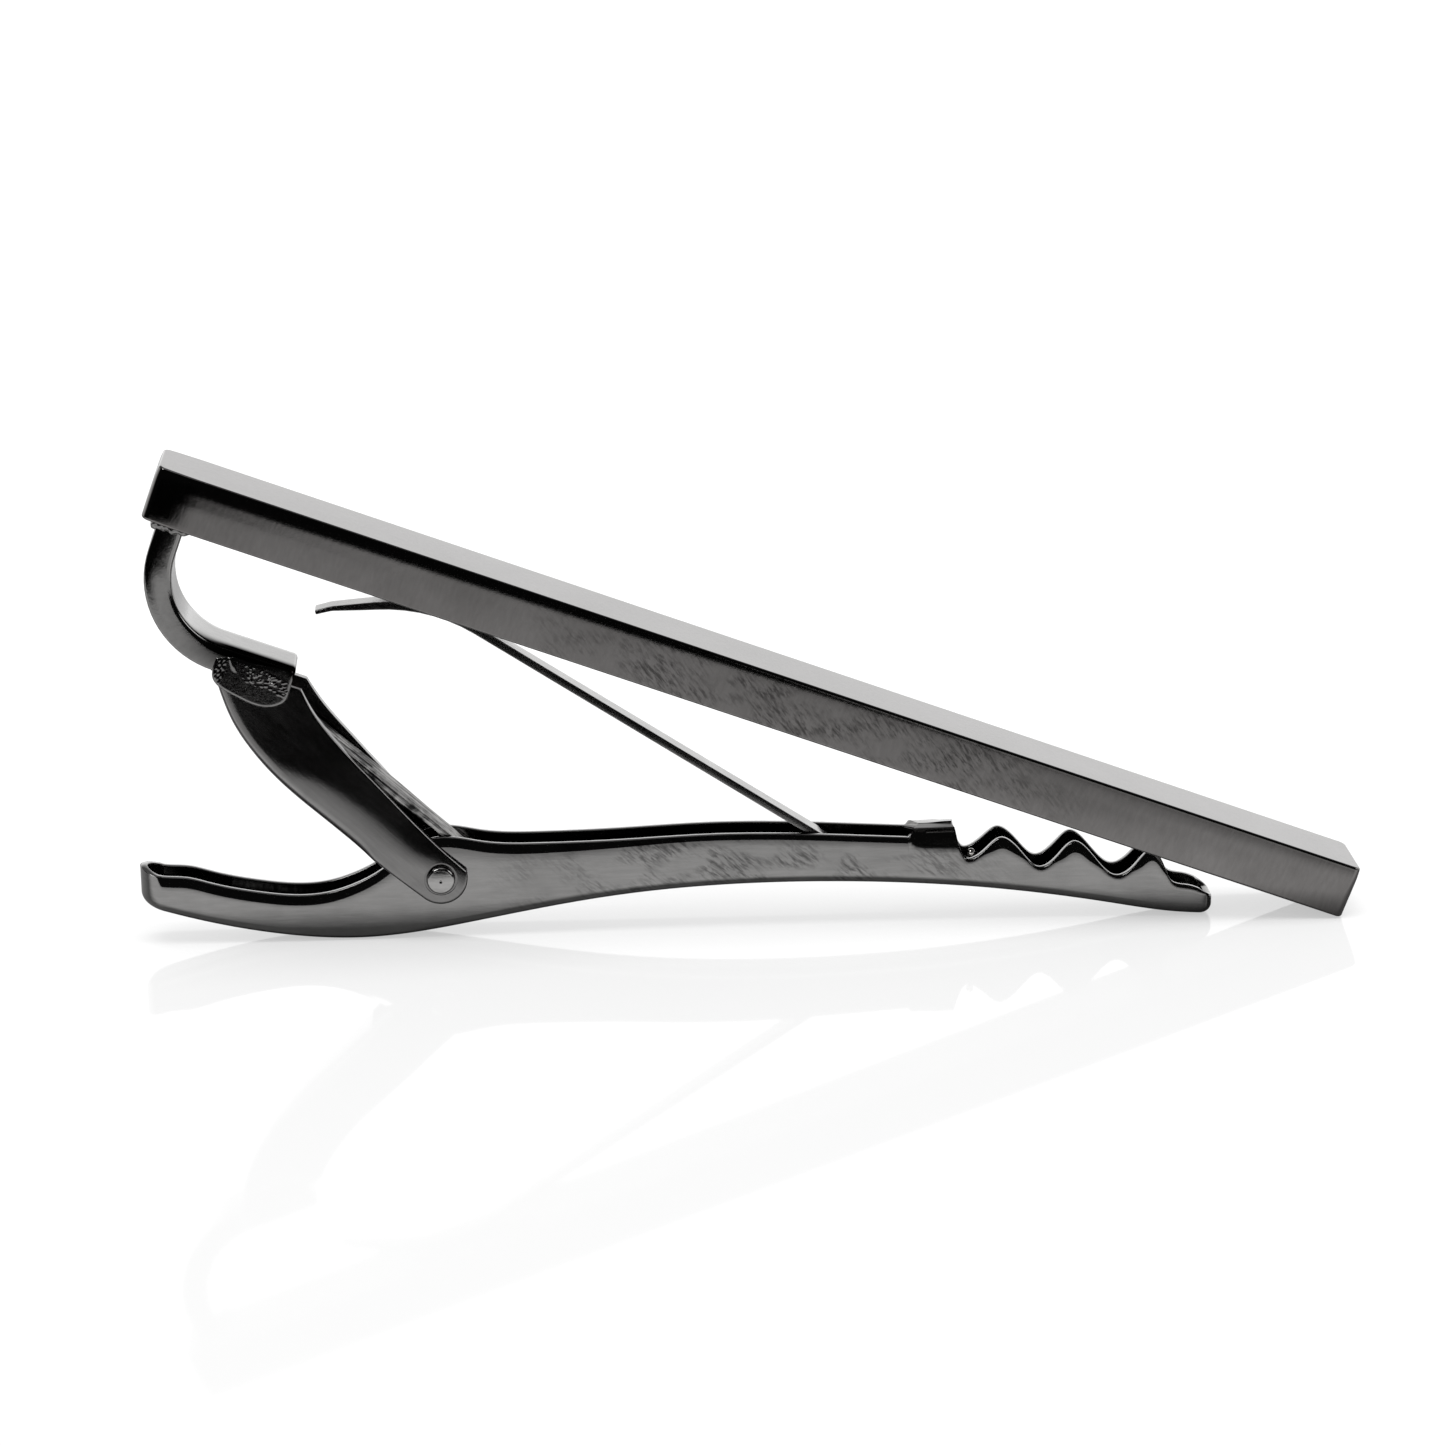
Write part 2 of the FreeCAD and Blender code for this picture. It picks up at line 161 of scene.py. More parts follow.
def curve_through(points, count=600):
    """A natural cubic spline through points of the XZ plane, as a dense polyline."""
    p = np.asarray(points, float)
    t = lengths_along(p)
    n = len(p)
    step = np.diff(t)
    system = np.eye(n)
    right = np.zeros((n, 2))
    for i in range(1, n - 1):
        system[i, i - 1:i + 2] = step[i - 1], 2 * (step[i - 1] + step[i]), step[i]
        right[i] = 6 * ((p[i + 1] - p[i]) / step[i] - (p[i] - p[i - 1]) / step[i - 1])
    bend = np.linalg.solve(system, right)
    at = np.linspace(0, t[-1], count)
    k = np.clip(np.searchsorted(t, at, side="right") - 1, 0, n - 2)
    a = ((t[k + 1] - at) / step[k])[:, None]
    b = 1 - a
    h = step[k][:, None]
    return a * p[k] + b * p[k + 1] + ((a ** 3 - a) * bend[k] + (b ** 3 - b) * bend[k + 1]) * h * h / 6


def height_of(points):
    """Z as a function of X along a smooth curve through the points."""
    line = curve_through(points)
    return lambda x: np.interp(x, line[:, 0], line[:, 1])


def resample(line, count):
    """Evenly spaced points along a polyline."""
    line = np.asarray(line, float)
    t = lengths_along(line)
    at = np.linspace(0, t[-1], count)
    return np.stack([np.interp(at, t, line[:, k]) for k in range(line.shape[1])], 1)


def smoothstep(low, high, value):
    t = np.clip((np.asarray(value, float) - low) / (high - low), 0, 1)
    return t * t * (3 - 2 * t)


def ripple(points, scale, seed, octaves=3):
    """Smooth pseudo-random values between about -1 and 1 at points, repeatable."""
    rng = np.random.default_rng(seed)
    p = np.asarray(points, float)
    total = np.zeros(len(p))
    size = 1.0
    for _ in range(octaves):
        for _ in range(5):
            way = rng.normal(size=p.shape[1])
            way *= rng.uniform(0.6, 1.5) / (scale * np.linalg.norm(way))
            total += size * np.sin(p @ way * math.tau + rng.uniform(0, math.tau)) / 3
        size *= 0.5
        scale *= 0.5
    return total


def swung(vector, angle):
    """A 2-D vector turned by an angle."""
    c, s = math.cos(angle), math.sin(angle)
    return np.array([c * vector[0] - s * vector[1], s * vector[0] + c * vector[1]])


def lengths_along(line):
    """Distance from the first point of a polyline to each of its points."""
    return np.concatenate([[0], np.cumsum(np.linalg.norm(np.diff(line, axis=0), axis=1))])


def bent_path(path, bends, step=0.25, turn_step=math.radians(5)):
    """Points and forward directions along a path whose inner corners are arcs."""
    path = [np.array(p, float) for p in path]
    ways = [(b - a) / np.linalg.norm(b - a) for a, b in zip(path, path[1:])]
    points, aims = [], []
    here = path[0]
    for i, way in enumerate(ways):
        if i < len(bends):
            after = ways[i + 1]
            turn = math.atan2(way[0] * after[1] - way[1] * after[0], float(way @ after))
            finish = path[i + 1] - way * bends[i] * math.tan(abs(turn) / 2)
        else:
            finish = path[-1]
        count = max(1, round(np.linalg.norm(finish - here) / step))
        for k in range(count):
            points.append(here + (finish - here) * k / count)
            aims.append(way)
        here = finish
        if i < len(bends):
            side = math.copysign(1.0, turn)
            centre = here + np.array([-way[1], way[0]]) * bends[i] * side
            spoke = here - centre
            count = max(2, round(abs(turn) / turn_step))
            for k in range(count):
                points.append(centre + swung(spoke, turn * k / count))
                aims.append(swung(way, turn * k / count))
            here = centre + swung(spoke, turn)
    points.append(here)
    aims.append(ways[-1])
    return np.array(points), np.array(aims)


def rounded_section(thick, wide, top_radius, low_radius, turns=5, across=10):
    """A closed loop (offset, y) of a rounded rectangle, with as many points for any size."""
    loop = []
    corners = [(1, 1, 0), (-1, 1, 90), (-1, -1, 180), (1, -1, 270)]
    for n, (a_side, b_side, start) in enumerate(corners):
        radius = min(top_radius if a_side > 0 else low_radius, 0.49 * thick, 0.49 * wide)
        ca = a_side * (thick / 2 - radius)
        cb = b_side * (wide / 2 - radius)
        for k in range(turns + 1):
            angle = math.radians(start + 90 * k / turns)
            loop.append((ca + radius * math.cos(angle), cb + radius * math.sin(angle)))
        if n % 2 == 1:
            end = wide / 2 - radius
            for k in range(1, across):
                loop.append((a_side * thick / 2, a_side * (2 * k / across - 1) * end))
    return np.array(loop)


def ring_faces(rings, size):
    """Quads between successive rings of the same size."""
    faces = []
    for r in range(rings - 1):
        for k in range(size):
            a = r * size + k
            b = r * size + (k + 1) % size
            faces.append((a, b, b + size, a + size))
    return faces


def shell_faces(rings, size):
    """The same quads, closed by a face on the first ring and one on the last."""
    last = (rings - 1) * size
    return ring_faces(rings, size) + [tuple(range(size))[::-1], tuple(range(last, last + size))]


def even_radius(radius):
    """The same radius on all four long edges, all the way along."""
    return lambda s, total: (radius, radius)


def swept(path, bends, thick, wide, end_round, size_at, radius_at, across=10, ridges=None):
    """A strip that follows a bent path, with rounded long edges and rounded ends."""
    points, aims = bent_path(path, bends)
    along = lengths_along(points)
    total = along[-1]
    keep = (along > end_round) & (along < total - end_round)
    angles = np.linspace(0, math.pi / 2, 5)
    stations = [(end_round * (1 - math.cos(a)), end_round * (1 - math.sin(a))) for a in angles]
    stations += [(s, 0.0) for s in along[keep]]
    stations += [(total - end_round * (1 - math.cos(a)), end_round * (1 - math.sin(a)))
                 for a in angles[::-1]]
    rings = []
    for s, inset in stations:
        p = np.array([np.interp(s, along, points[:, k]) for k in (0, 1)])
        aim = np.array([np.interp(s, along, aims[:, k]) for k in (0, 1)])
        aim /= np.linalg.norm(aim)
        out = np.array([-aim[1], aim[0]])
        scale_t, scale_w = size_at(s, total)
        loop = rounded_section(thick * scale_t - 2 * inset, wide * scale_w - 2 * inset,
                               *radius_at(s, total), across=across)
        if ridges:
            loop = ridges(loop, thick * scale_t, wide * scale_w)
        flat = p + loop[:, :1] * out
        rings.append(np.stack([flat[:, 0], loop[:, 1], flat[:, 1]], 1))
    return np.concatenate(rings), shell_faces(len(rings), len(rings[0]))


def linked(name, data):
    """A new object in the scene."""
    thing = bpy.data.objects.new(name, data)
    bpy.context.scene.collection.objects.link(thing)
    return thing


def mesh_points(mesh, value="co"):
    """The vertices' places, or their normals, as an array."""
    values = np.empty(len(mesh.vertices) * 3)
    mesh.vertices.foreach_get(value, values)
    return values.reshape(-1, 3)


def vertex_value(thing, name, values):
    thing.data.attributes.new(name, "FLOAT", "POINT").data.foreach_set("value", values)


def mesh_of(work, name):
    """A bmesh written to a new mesh and freed."""
    mesh = bpy.data.meshes.new(name)
    work.to_mesh(mesh)
    work.free()
    return mesh


def raw_object(name, points, faces):
    mesh = bpy.data.meshes.new(name)
    whole_faces = [tuple(int(i) for i in f) for f in faces]
    mesh.from_pydata(np.asarray(points, float).tolist(), [], whole_faces)
    mesh.update()
    thing = linked(name, mesh)
    tidy_mesh(thing)
    return thing


def tidy_mesh(thing):
    """Merge doubled points, drop slivers and turn all faces outwards."""
    work = bmesh.new()
    work.from_mesh(thing.data)
    bmesh.ops.remove_doubles(work, verts=work.verts, dist=MERGE)
    bmesh.ops.dissolve_degenerate(work, edges=work.edges, dist=MERGE)
    bmesh.ops.recalc_face_normals(work, faces=work.faces)
    work.to_mesh(thing.data)
    work.free()
    thing.data.update()


def apply_modifiers(thing):
    bpy.context.view_layer.update()
    shape = thing.evaluated_get(bpy.context.evaluated_depsgraph_get())
    mesh = bpy.data.meshes.new_from_object(shape)
    thing.modifiers.clear()
    thing.data = mesh


def cut_away(thing, *tools):
    for tool in tools:
        step = thing.modifiers.new("cut", "BOOLEAN")
        step.operation = "DIFFERENCE"
        step.solver = "EXACT"
        step.object = tool
        apply_modifiers(thing)
        bpy.data.objects.remove(tool)


def joined(name, things):
    work = bmesh.new()
    for thing in things:
        work.from_mesh(thing.data)
        bpy.data.objects.remove(thing)
    return linked(name, mesh_of(work, name))


def finished(thing, material, node, body=None, weight=60):
    """Move a millimetre mesh into the row frame, shade it smooth and hand it to the frame."""
    mesh = thing.data
    mesh.vertices.foreach_set("co", place(mesh_points(mesh)).ravel())
    mesh.polygons.foreach_set("use_smooth", [True] * len(mesh.polygons))
    mesh.set_sharp_from_angle(angle=SHARP)
    mesh.update()
    mesh.materials.clear()
    mesh.materials.append(material)
    normals = thing.modifiers.new("normals", "WEIGHTED_NORMAL")
    normals.keep_sharp = True
    normals.weight = weight
    if body:
        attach(thing, body)
    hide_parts(node)
    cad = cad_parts[node].data
    cad.materials.clear()
    cad.materials.append(material)
    return thing


# ---------------------------------------------------------------- materials

# Pale colour, painted on as a highlight where the 'edge' attribute is set.
PAINTED_HIGHLIGHT_COLOUR = (0.62, 0.60, 0.57)
# Near black, painted onto a surface where it stands in for a dark reflection.
PAINTED_REFLECTION_BLACK = (0.012, 0.011, 0.011)
RELIEF = 0.00002
SMUDGE_FADE = 0.006

def nodes_of(name):
    material = bpy.data.materials.new(name)
    material.use_nodes = True
    tree = material.node_tree
    return material, tree, tree.nodes["Principled BSDF"]


def add(tree, kind, **values):
    node = tree.nodes.new(kind)
    for key, value in values.items():
        if key in node.bl_rna.properties:
            setattr(node, key, value)
        else:
            node.inputs[key].default_value = value
    return node


def scaled_position(tree, stretch, turn=0.0):
    """Object coordinates in millimetres, turned about Y and stretched, so grain follows the piece."""
    where = tree.nodes.new("ShaderNodeTexCoord")
    mapping = tree.nodes.new("ShaderNodeMapping")
    mapping.vector_type = "TEXTURE"
    mapping.inputs["Rotation"].default_value = (0, turn, 0)
    mapping.inputs["Scale"].default_value = [MM * v for v in stretch]
    tree.links.new(where.outputs["Object"], mapping.inputs["Vector"])
    return mapping.outputs["Vector"]


def noise(tree, vector, scale, detail, roughness, distortion=0.0):
    node = add(tree, "ShaderNodeTexNoise", Scale=scale, Detail=detail, Roughness=roughness,
               Distortion=distortion)
    tree.links.new(vector, node.inputs["Vector"])
    return node.outputs["Fac"]


def mapped(tree, source, low, high, to_low, to_high):
    node = add(tree, "ShaderNodeMapRange")
    for key, value in zip(("From Min", "From Max", "To Min", "To Max"), (low, high, to_low, to_high)):
        node.inputs[key].default_value = value
    tree.links.new(source, node.inputs["Value"])
    return node.outputs["Result"]


def combine(tree, operation, a, b):
    node = add(tree, "ShaderNodeMath", operation=operation)
    for socket, value in zip(node.inputs, (a, b)):
        if isinstance(value, (int, float)):
            socket.default_value = value
        else:
            tree.links.new(value, socket)
    return node.outputs[0]


def mix_colour(tree, factor, first, second):
    node = tree.nodes.new("ShaderNodeMix")
    node.data_type = "RGBA"
    sockets = {s.identifier: s for s in node.inputs}
    tree.links.new(factor, sockets["Factor_Float"])
    for key, value in (("A_Color", first), ("B_Color", second)):
        if isinstance(value, tuple):
            sockets[key].default_value = (*value, 1.0)
        else:
            tree.links.new(value, sockets[key])
    return next(s for s in node.outputs if s.identifier == "Result_Color")


def smudges(tree, start, end, turn):
    """Short slanted polishing marks in blotches, between two places along X (row frame, metres)."""
    strokes = noise(tree, scaled_position(tree, (0.16, 1.0, 0.75), turn), 1.0, 4.0, 0.65, 0.3)
    patches = noise(tree, scaled_position(tree, (2.6, 1.0, 1.6)), 1.0, 3.0, 0.5)
    where = tree.nodes.new("ShaderNodeTexCoord")
    split = tree.nodes.new("ShaderNodeSeparateXYZ")
    tree.links.new(where.outputs["Object"], split.inputs[0])
    inside = combine(tree, "MULTIPLY",
                     mapped(tree, split.outputs["X"], start, start + SMUDGE_FADE, 0.0, 1.0),
                     mapped(tree, split.outputs["X"], end - SMUDGE_FADE, end, 1.0, 0.0))
    mask = combine(tree, "MULTIPLY", inside, mapped(tree, patches, 0.42, 0.58, 0.0, 1.0))
    marks = mapped(tree, strokes, 0.44, 0.60, 0.0, 0.9)
    facing = tree.nodes.new("ShaderNodeNewGeometry")
    split = tree.nodes.new("ShaderNodeSeparateXYZ")
    tree.links.new(facing.outputs["Normal"], split.inputs[0])
    faces_front = mapped(tree, split.outputs["Y"], -0.6, -0.9, 0.0, 1.0)
    marks = combine(tree, "MULTIPLY", marks, faces_front)
    return combine(tree, "MULTIPLY", mask, marks)


def weighted(tree, first, share, second):
    """share of the first value and the rest of the second."""
    return combine(tree, "ADD", combine(tree, "MULTIPLY", first, share),
                   combine(tree, "MULTIPLY", second, round(1 - share, 2)))


def metal(name, dark, light, rough, turn, grain, bump, blotch, fine, smudge=None, tint=1.0,
          spread=0.18):
    """Plated metal: streaky grain along one direction, blotches, fine pits and uneven roughness."""
    material, tree, shader = nodes_of(name)
    even = scaled_position(tree, (1, 1, 1), turn)
    streak = scaled_position(tree, grain, turn)
    streaks = noise(tree, streak, fine, 5.0, 0.6)
    blotches = noise(tree, even, blotch, 4.0, 0.6, 0.4)
    pits = noise(tree, even, 22.0, 3.0, 0.7)
    tone = weighted(tree, streaks, 0.45, blotches)
    tone = mapped(tree, tone, 0.5 - spread, 0.5 + spread, 0.0, 1.0)
    colour = mix_colour(tree, tone, dark, light)
    # Painted highlight: pale colour where the 'edge' attribute is set; only the spot weld sets it here.
    highlight_attribute = tree.nodes.new("ShaderNodeAttribute")
    highlight_attribute.attribute_name = "edge"
    spots = mapped(tree, noise(tree, even, 3.0, 4.0, 0.7), 0.38, 0.62, 0.1, 1.0)
    highlight_share = combine(tree, "MULTIPLY", combine(tree, "MULTIPLY", highlight_attribute.outputs["Fac"], spots), 0.45)
    colour = mix_colour(tree, highlight_share, colour, PAINTED_HIGHLIGHT_COLOUR)
    if smudge:
        colour = mix_colour(tree, smudges(tree, *smudge), colour, tuple(0.42 * v for v in dark))
    # Painted dark reflection: where this attribute is set, the colour goes near black and the specular
    # tint drops with it.
    painted_black_mask = tree.nodes.new("ShaderNodeAttribute")
    painted_black_mask.attribute_name = "painted_dark_reflection"
    colour = mix_colour(tree, painted_black_mask.outputs["Fac"], colour, PAINTED_REFLECTION_BLACK)
    tree.links.new(colour, shader.inputs["Base Color"])
    shine = combine(tree, "MULTIPLY", combine(tree, "SUBTRACT", 1.0, painted_black_mask.outputs["Fac"]), tint)
    tree.links.new(shine, shader.inputs["Specular Tint"])
    shader.inputs["Metallic"].default_value = 1.0
    roughness = weighted(tree, streaks, 0.5, pits)
    tree.links.new(mapped(tree, roughness, 0.3, 0.7, *rough), shader.inputs["Roughness"])
    height = weighted(tree, streaks, 0.7, pits)
    relief = add(tree, "ShaderNodeBump", Strength=bump, Distance=RELIEF)
    tree.links.new(height, relief.inputs["Height"])
    tree.links.new(relief.outputs["Normal"], shader.inputs["Normal"])
    return material


bar_metal = metal("gunmetal_bar", (0.100, 0.096, 0.094), (0.140, 0.135, 0.133), (0.04, 0.09),
                  BAR_TILT, (0.6, 1.0, 2.2), 0.2, 0.22, 3.0,
                  smudge=(-0.0115, 0.0165, math.radians(-35)))
clip_metal = metal("gunmetal_clip", (0.160, 0.158, 0.156), (0.218, 0.215, 0.212), (0.05, 0.12),
                   0.0, (4.0, 1.0, 0.5), 0.2, 0.4, 3.0, smudge=(-0.013, 0.013, math.radians(-50)))
lever_metal = metal("gunmetal_lever", (0.125, 0.123, 0.122), (0.17, 0.167, 0.165), (0.10, 0.19),
                    math.radians(45), (4.0, 1.0, 0.5), 0.2, 0.4, 3.0)
arm_metal = metal("gunmetal_arm", (0.15, 0.148, 0.146), (0.21, 0.207, 0.204), (0.04, 0.10), 0.0,
                  (1.0, 1.0, 1.0), 0.2, 0.4, 3.0)
spring_metal = metal("spring_steel", (0.12, 0.118, 0.117), (0.24, 0.236, 0.232), (0.12, 0.26),
                     math.radians(33), (8.0, 1.0, 0.6), 0.35, 0.6, 4.0)
wire_metal = metal("spring_wire", (0.012, 0.012, 0.012), (0.36, 0.355, 0.35), (0.16, 0.40),
                   math.radians(42), (9.0, 0.2, 0.13), 0.9, 0.6, 1.4, tint=0.5, spread=0.07)
rivet_metal = metal("gunmetal_rivet", (0.22, 0.217, 0.214), (0.30, 0.297, 0.293), (0.04, 0.10), 0.0,
                    (2.0, 1.0, 0.12), 0.3, 0.6, 2.0)
solder_metal = metal("plated_solder", (0.11, 0.108, 0.107), (0.17, 0.167, 0.165), (0.05, 0.15), 0.0,
                     (1.0, 1.0, 1.0), 0.3, 0.8, 5.0)


# ---------------------------------------------------------------- bar

def end_roll(s):
    """How far the long faces draw in next to the bar's rear end."""
    reach = np.clip((BAR_REAR + END_REACH - np.asarray(s, float)) / END_SPAN, 0, None)
    return math.tan(END_ANGLE) * END_SPAN * reach ** 2 / 2


def top_roll(depth):
    """How far the long faces draw in at a depth below the top."""
    reach = np.clip((ROLL_DEPTH - depth) / ROLL_SPAN, 0, None)
    return float(math.tan(ROLL_ANGLE) * ROLL_SPAN * (reach ** ROLL_POWER) / ROLL_POWER)


def bar_levels():
    """(height, inset) of the bar's outline, from its underside up to its top."""
    levels = [(BAR_UNDER + LOW_EDGE * (1 - math.cos(a)), LOW_EDGE * (1 - math.sin(a)))
              for a in np.linspace(0, math.pi / 2, 6)]
    levels += [(BAR_TOP - d, top_roll(d)) for d in np.linspace(1.2, TOP_EDGE, 14)]
    edge = top_roll(TOP_EDGE)
    levels += [(BAR_TOP - TOP_EDGE * (1 - math.cos(a)), edge + TOP_EDGE * (1 - math.sin(a)))
               for a in np.linspace(math.radians(84), 0, 8)]
    return levels


def make_bar():
    stations = np.linspace(0, BAR_FRONT - BAR_REAR, BAR_STATIONS)[1:-1]
    rings = []
    for h, inset in bar_levels():
        x0, x1, half = BAR_REAR + inset, BAR_FRONT - inset, BAR_HALF - inset
        radius = BAR_CORNER - 0.7 * inset
        first, final = x0 + radius + NUDGE, x1 - radius - NUDGE
        ring = []
        for cx, cy, start in ((x1 - radius, half - radius, 0), (x0 + radius, half - radius, 90),
                              (x0 + radius, -half + radius, 180), (x1 - radius, -half + radius, 270)):
            for k in range(9):
                angle = math.radians(start + 90 * k / 8)
                ring.append((cx + radius * math.cos(angle), cy + radius * math.sin(angle)))
            side = {0: 1, 180: -1}.get(start)
            if side:
                line = [(min(max(BAR_REAR + d, first), final), side * half) for d in stations]
                ring += line[::-1] if side > 0 else line
        ring = np.array(ring)
        draw = end_roll(ring[:, 0])
        ring[:, 1] -= np.sign(ring[:, 1]) * np.minimum(draw, np.abs(ring[:, 1]))
        rings.append(np.stack([ring[:, 0], ring[:, 1], np.full(len(ring), h)], 1))
    faces = shell_faces(len(rings), len(rings[0]))
    bar = raw_object("tie_bar", from_bar(np.concatenate(rings)), faces)
    return finished(bar, bar_metal, "bar", "bar", 90)


# ---------------------------------------------------------------- strips

def arm_radii(s, total):
    """The foot's upper edge is rolled over; the upright's inner edges are softer than its outer ones."""
    foot = float(smoothstep(total - 5.6, total - 3.6, s))
    return 0.24 + 0.16 * foot, 0.12


def arm_size(s, total):
    """The upright narrows a little as it reaches the bar."""
    return 1.0, 1.0 - 0.07 * float(np.clip(1 - s / 2.6, 0, 1)) ** 1.3


def make_arm():
    middle = ARM_THICK / 2
    upright = ARM_OUTER + middle
    path = [(upright, BAR_UNDER + 0.05), (upright, FOOT_TOP - middle), (FOOT_END, FOOT_TOP - middle)]
    points, faces = swept(path, [ARM_BEND + middle], ARM_THICK, 2 * LEVER_HALF, ARM_EDGE,
                          arm_size, arm_radii)
    arm = raw_object("bent_arm", from_bar(points), faces)
    co = np.array([v.co for v in arm.data.vertices])
    s = co[:, 0] * math.cos(BAR_TILT) - co[:, 2] * math.sin(BAR_TILT)
    h = co[:, 0] * math.sin(BAR_TILT) + co[:, 2] * math.cos(BAR_TILT)
    # Painted dark reflection: the foot's near face beside the solder bead is painted near black, standing
    # in for the dark reflection there.
    painted_dark_reflection = smoothstep(-0.45, -1.35, co[:, 1]) * smoothstep(-15.2, -12.6, s) * smoothstep(6.2, 6.8, h)
    vertex_value(arm, "painted_dark_reflection", painted_dark_reflection)
    return finished(arm, arm_metal, "arm", "bar")


def rolled(loop, thick, wide):
    """Shallow lengthwise roll lines on both faces of the hairpin's wire."""
    out = loop.copy()
    share = loop[:, 1] / (wide / 2)
    depth = 0.022 * np.cos(share * math.pi * 3.5) * smoothstep(1.0, 0.85, np.abs(share))
    out[:, 0] += np.sign(loop[:, 0]) * depth
    return out


def pin_size(s, total):
    """The leg inside the lever is broader than the bend and the leg inside the jaw."""
    return 1.0, 1.0 + 0.27 * float(smoothstep(12.2, 9.5, s))


def make_hairpin():
    points, faces = swept(HAIRPIN_PATH, HAIRPIN_BENDS, HAIRPIN_THICK, HAIRPIN_WIDE, 0.08,
                          pin_size, even_radius(0.1), across=28, ridges=rolled)
    pin = raw_object("hairpin_wire", points, faces)
    finished(pin, wire_metal, "hairpin_spring")
    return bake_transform(pin)


def leaf_size(s, total):
    tip = smoothstep(total - 3.2, total, s)
    return 1.0 - 0.45 * tip, 1.0 - 0.12 * tip


def sheared(loop, thick, wide):
    """The blade's cut sides lean in towards its upper face."""
    out = loop.copy()
    out[:, 1] *= 1 + 0.06 * loop[:, 0] / (thick / 2)
    return out


def make_leaf():
    points, faces = swept(LEAF_LINE, LEAF_LINE_BENDS, LEAF_THICK, LEAF_WIDE, 0.05, leaf_size,
                          even_radius(0.04), ridges=sheared)
    leaf = raw_object("leaf_blade", points, faces)
    finished(leaf, spring_metal, "leaf_spring")
    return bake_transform(leaf)


# ---------------------------------------------------------------- rivet

def rivet_profile():
    """(radius, y) of half the pin: shaft, rolled rim, crown and the dimple in its middle."""
    face, rim = RIVET_FACE, RIVET_RIM
    top = face + 0.06 + RIVET_RISE
    flat = RIVET_HEAD - rim
    base = top - RIVET_SPHERE
    shoulder = base + math.sqrt(RIVET_SPHERE ** 2 - flat ** 2)
    profile = [(RIVET_SHAFT, 0.0), (RIVET_SHAFT, face - 0.1), (0.62, face), (0.68, face + 0.02),
               (RIVET_HEAD, face + 0.05)]
    for a in np.linspace(0, math.radians(78), 10):
        profile.append((flat + rim * math.cos(a), shoulder - rim + rim * math.sin(a)))
    for r in np.linspace(flat, 0.08, 14):
        profile.append((r, base + math.sqrt(RIVET_SPHERE ** 2 - r ** 2)))
    return profile + [(0.055, top - 0.015), (0.03, top - 0.04), (0.0, top - 0.045)]


def make_rivet():
    profile = rivet_profile()
    points = []
    for r, y in profile[:-1]:
        for k in range(ROUND_TURNS):
            angle = math.tau * k / ROUND_TURNS
            points.append((r * math.cos(angle), y, r * math.sin(angle)))
    faces = ring_faces(len(profile) - 1, ROUND_TURNS)
    points.append((0.0, profile[-1][1], 0.0))
    last = (len(profile) - 2) * ROUND_TURNS
    faces += [(last + k, last + (k + 1) % ROUND_TURNS, len(points) - 1) for k in range(ROUND_TURNS)]
    count = len(points)
    points += [(x, -y, z) for x, y, z in points]
    faces += [tuple(count + i for i in f) for f in faces]
    rivet = raw_object("rivet_pin", points, faces)
    return finished(rivet, rivet_metal, "rivet", "bar")


# ---------------------------------------------------------------- jaw

floor_at = height_of(JAW_BOTTOM)
rim_left = height_of(JAW_RIM)
rim_right = height_of(TOOTH_WAVE)


def rim_at(x):
    x = np.asarray(x, float)
    return np.where(x < EAR_RIGHT, rim_left(np.minimum(x, EAR_LEFT)), rim_right(np.maximum(x, EAR_RIGHT)))


def band_at(x):
    """Height of the strip under the rim that leans inwards."""
    x = np.asarray(x, float)
    left = 0.45 * smoothstep(-13.4, -13.15, x) * (1 - 0.45 * smoothstep(3.0, 12.0, x))
    wave = 0.10 + 0.40 * smoothstep(0.15, 1.0, (rim_at(x) - valley_at(x)) / 1.3)
    return np.where(x < EAR_RIGHT, left, wave) + 0.02


def valley_at(x):
    return np.interp(x, [25.05, 28.60, 32.34, 35.5], [0.12, -0.40, -0.94, -1.5])


def plan_points():
    """X, Y and outward normal of the jaw's plan outline, from the tail round the near side to the nose."""
    rows = []
    for angle in np.linspace(180, 270, 30)[:-1]:
        c, s = math.cos(math.radians(angle)), math.sin(math.radians(angle))
        rows.append((JAW_TAIL + JAW_HALF + JAW_HALF * c, JAW_HALF * s, c, s))
    stops = [(JAW_TAIL + JAW_HALF, 0.16), (EAR_LEFT - 0.3, 0.05), (EAR_LEFT - NUDGE, 0.001),
             (EAR_LEFT + NUDGE, 0.08), (EAR_RIGHT - NUDGE, 0.001), (EAR_RIGHT + NUDGE, 0.045),
             (JAW_NOSE - NOSE_ROUND, 1)]
    for (a, step), (b, _) in zip(stops, stops[1:]):
        count = max(1, round((b - a) / step))
        rows += [(a + (b - a) * k / count, -JAW_HALF, 0.0, -1.0) for k in range(count)]
    for angle in np.linspace(270, 360, 16):
        c, s = math.cos(math.radians(angle)), math.sin(math.radians(angle))
        rows.append((JAW_NOSE - NOSE_ROUND + NOSE_ROUND * c,
                     -JAW_HALF + NOSE_ROUND + NOSE_ROUND * s, c, s))
    rows += [(JAW_NOSE, y, 1.0, 0.0) for y in (-0.3, -0.15, 0.0)]
    near = np.array(rows)
    far = near[-2:0:-1] * [1, -1, 1, -1]
    return np.concatenate([near, far])


BAND_ROWS = 14
RIM_ROWS = 9
EAR_AT = [EAR_LEFT, 22.5, 23.0, 23.6, EAR_RIGHT]
EAR_BEND = [1.10, 0.76, 0.62, 0.57, 0.55]


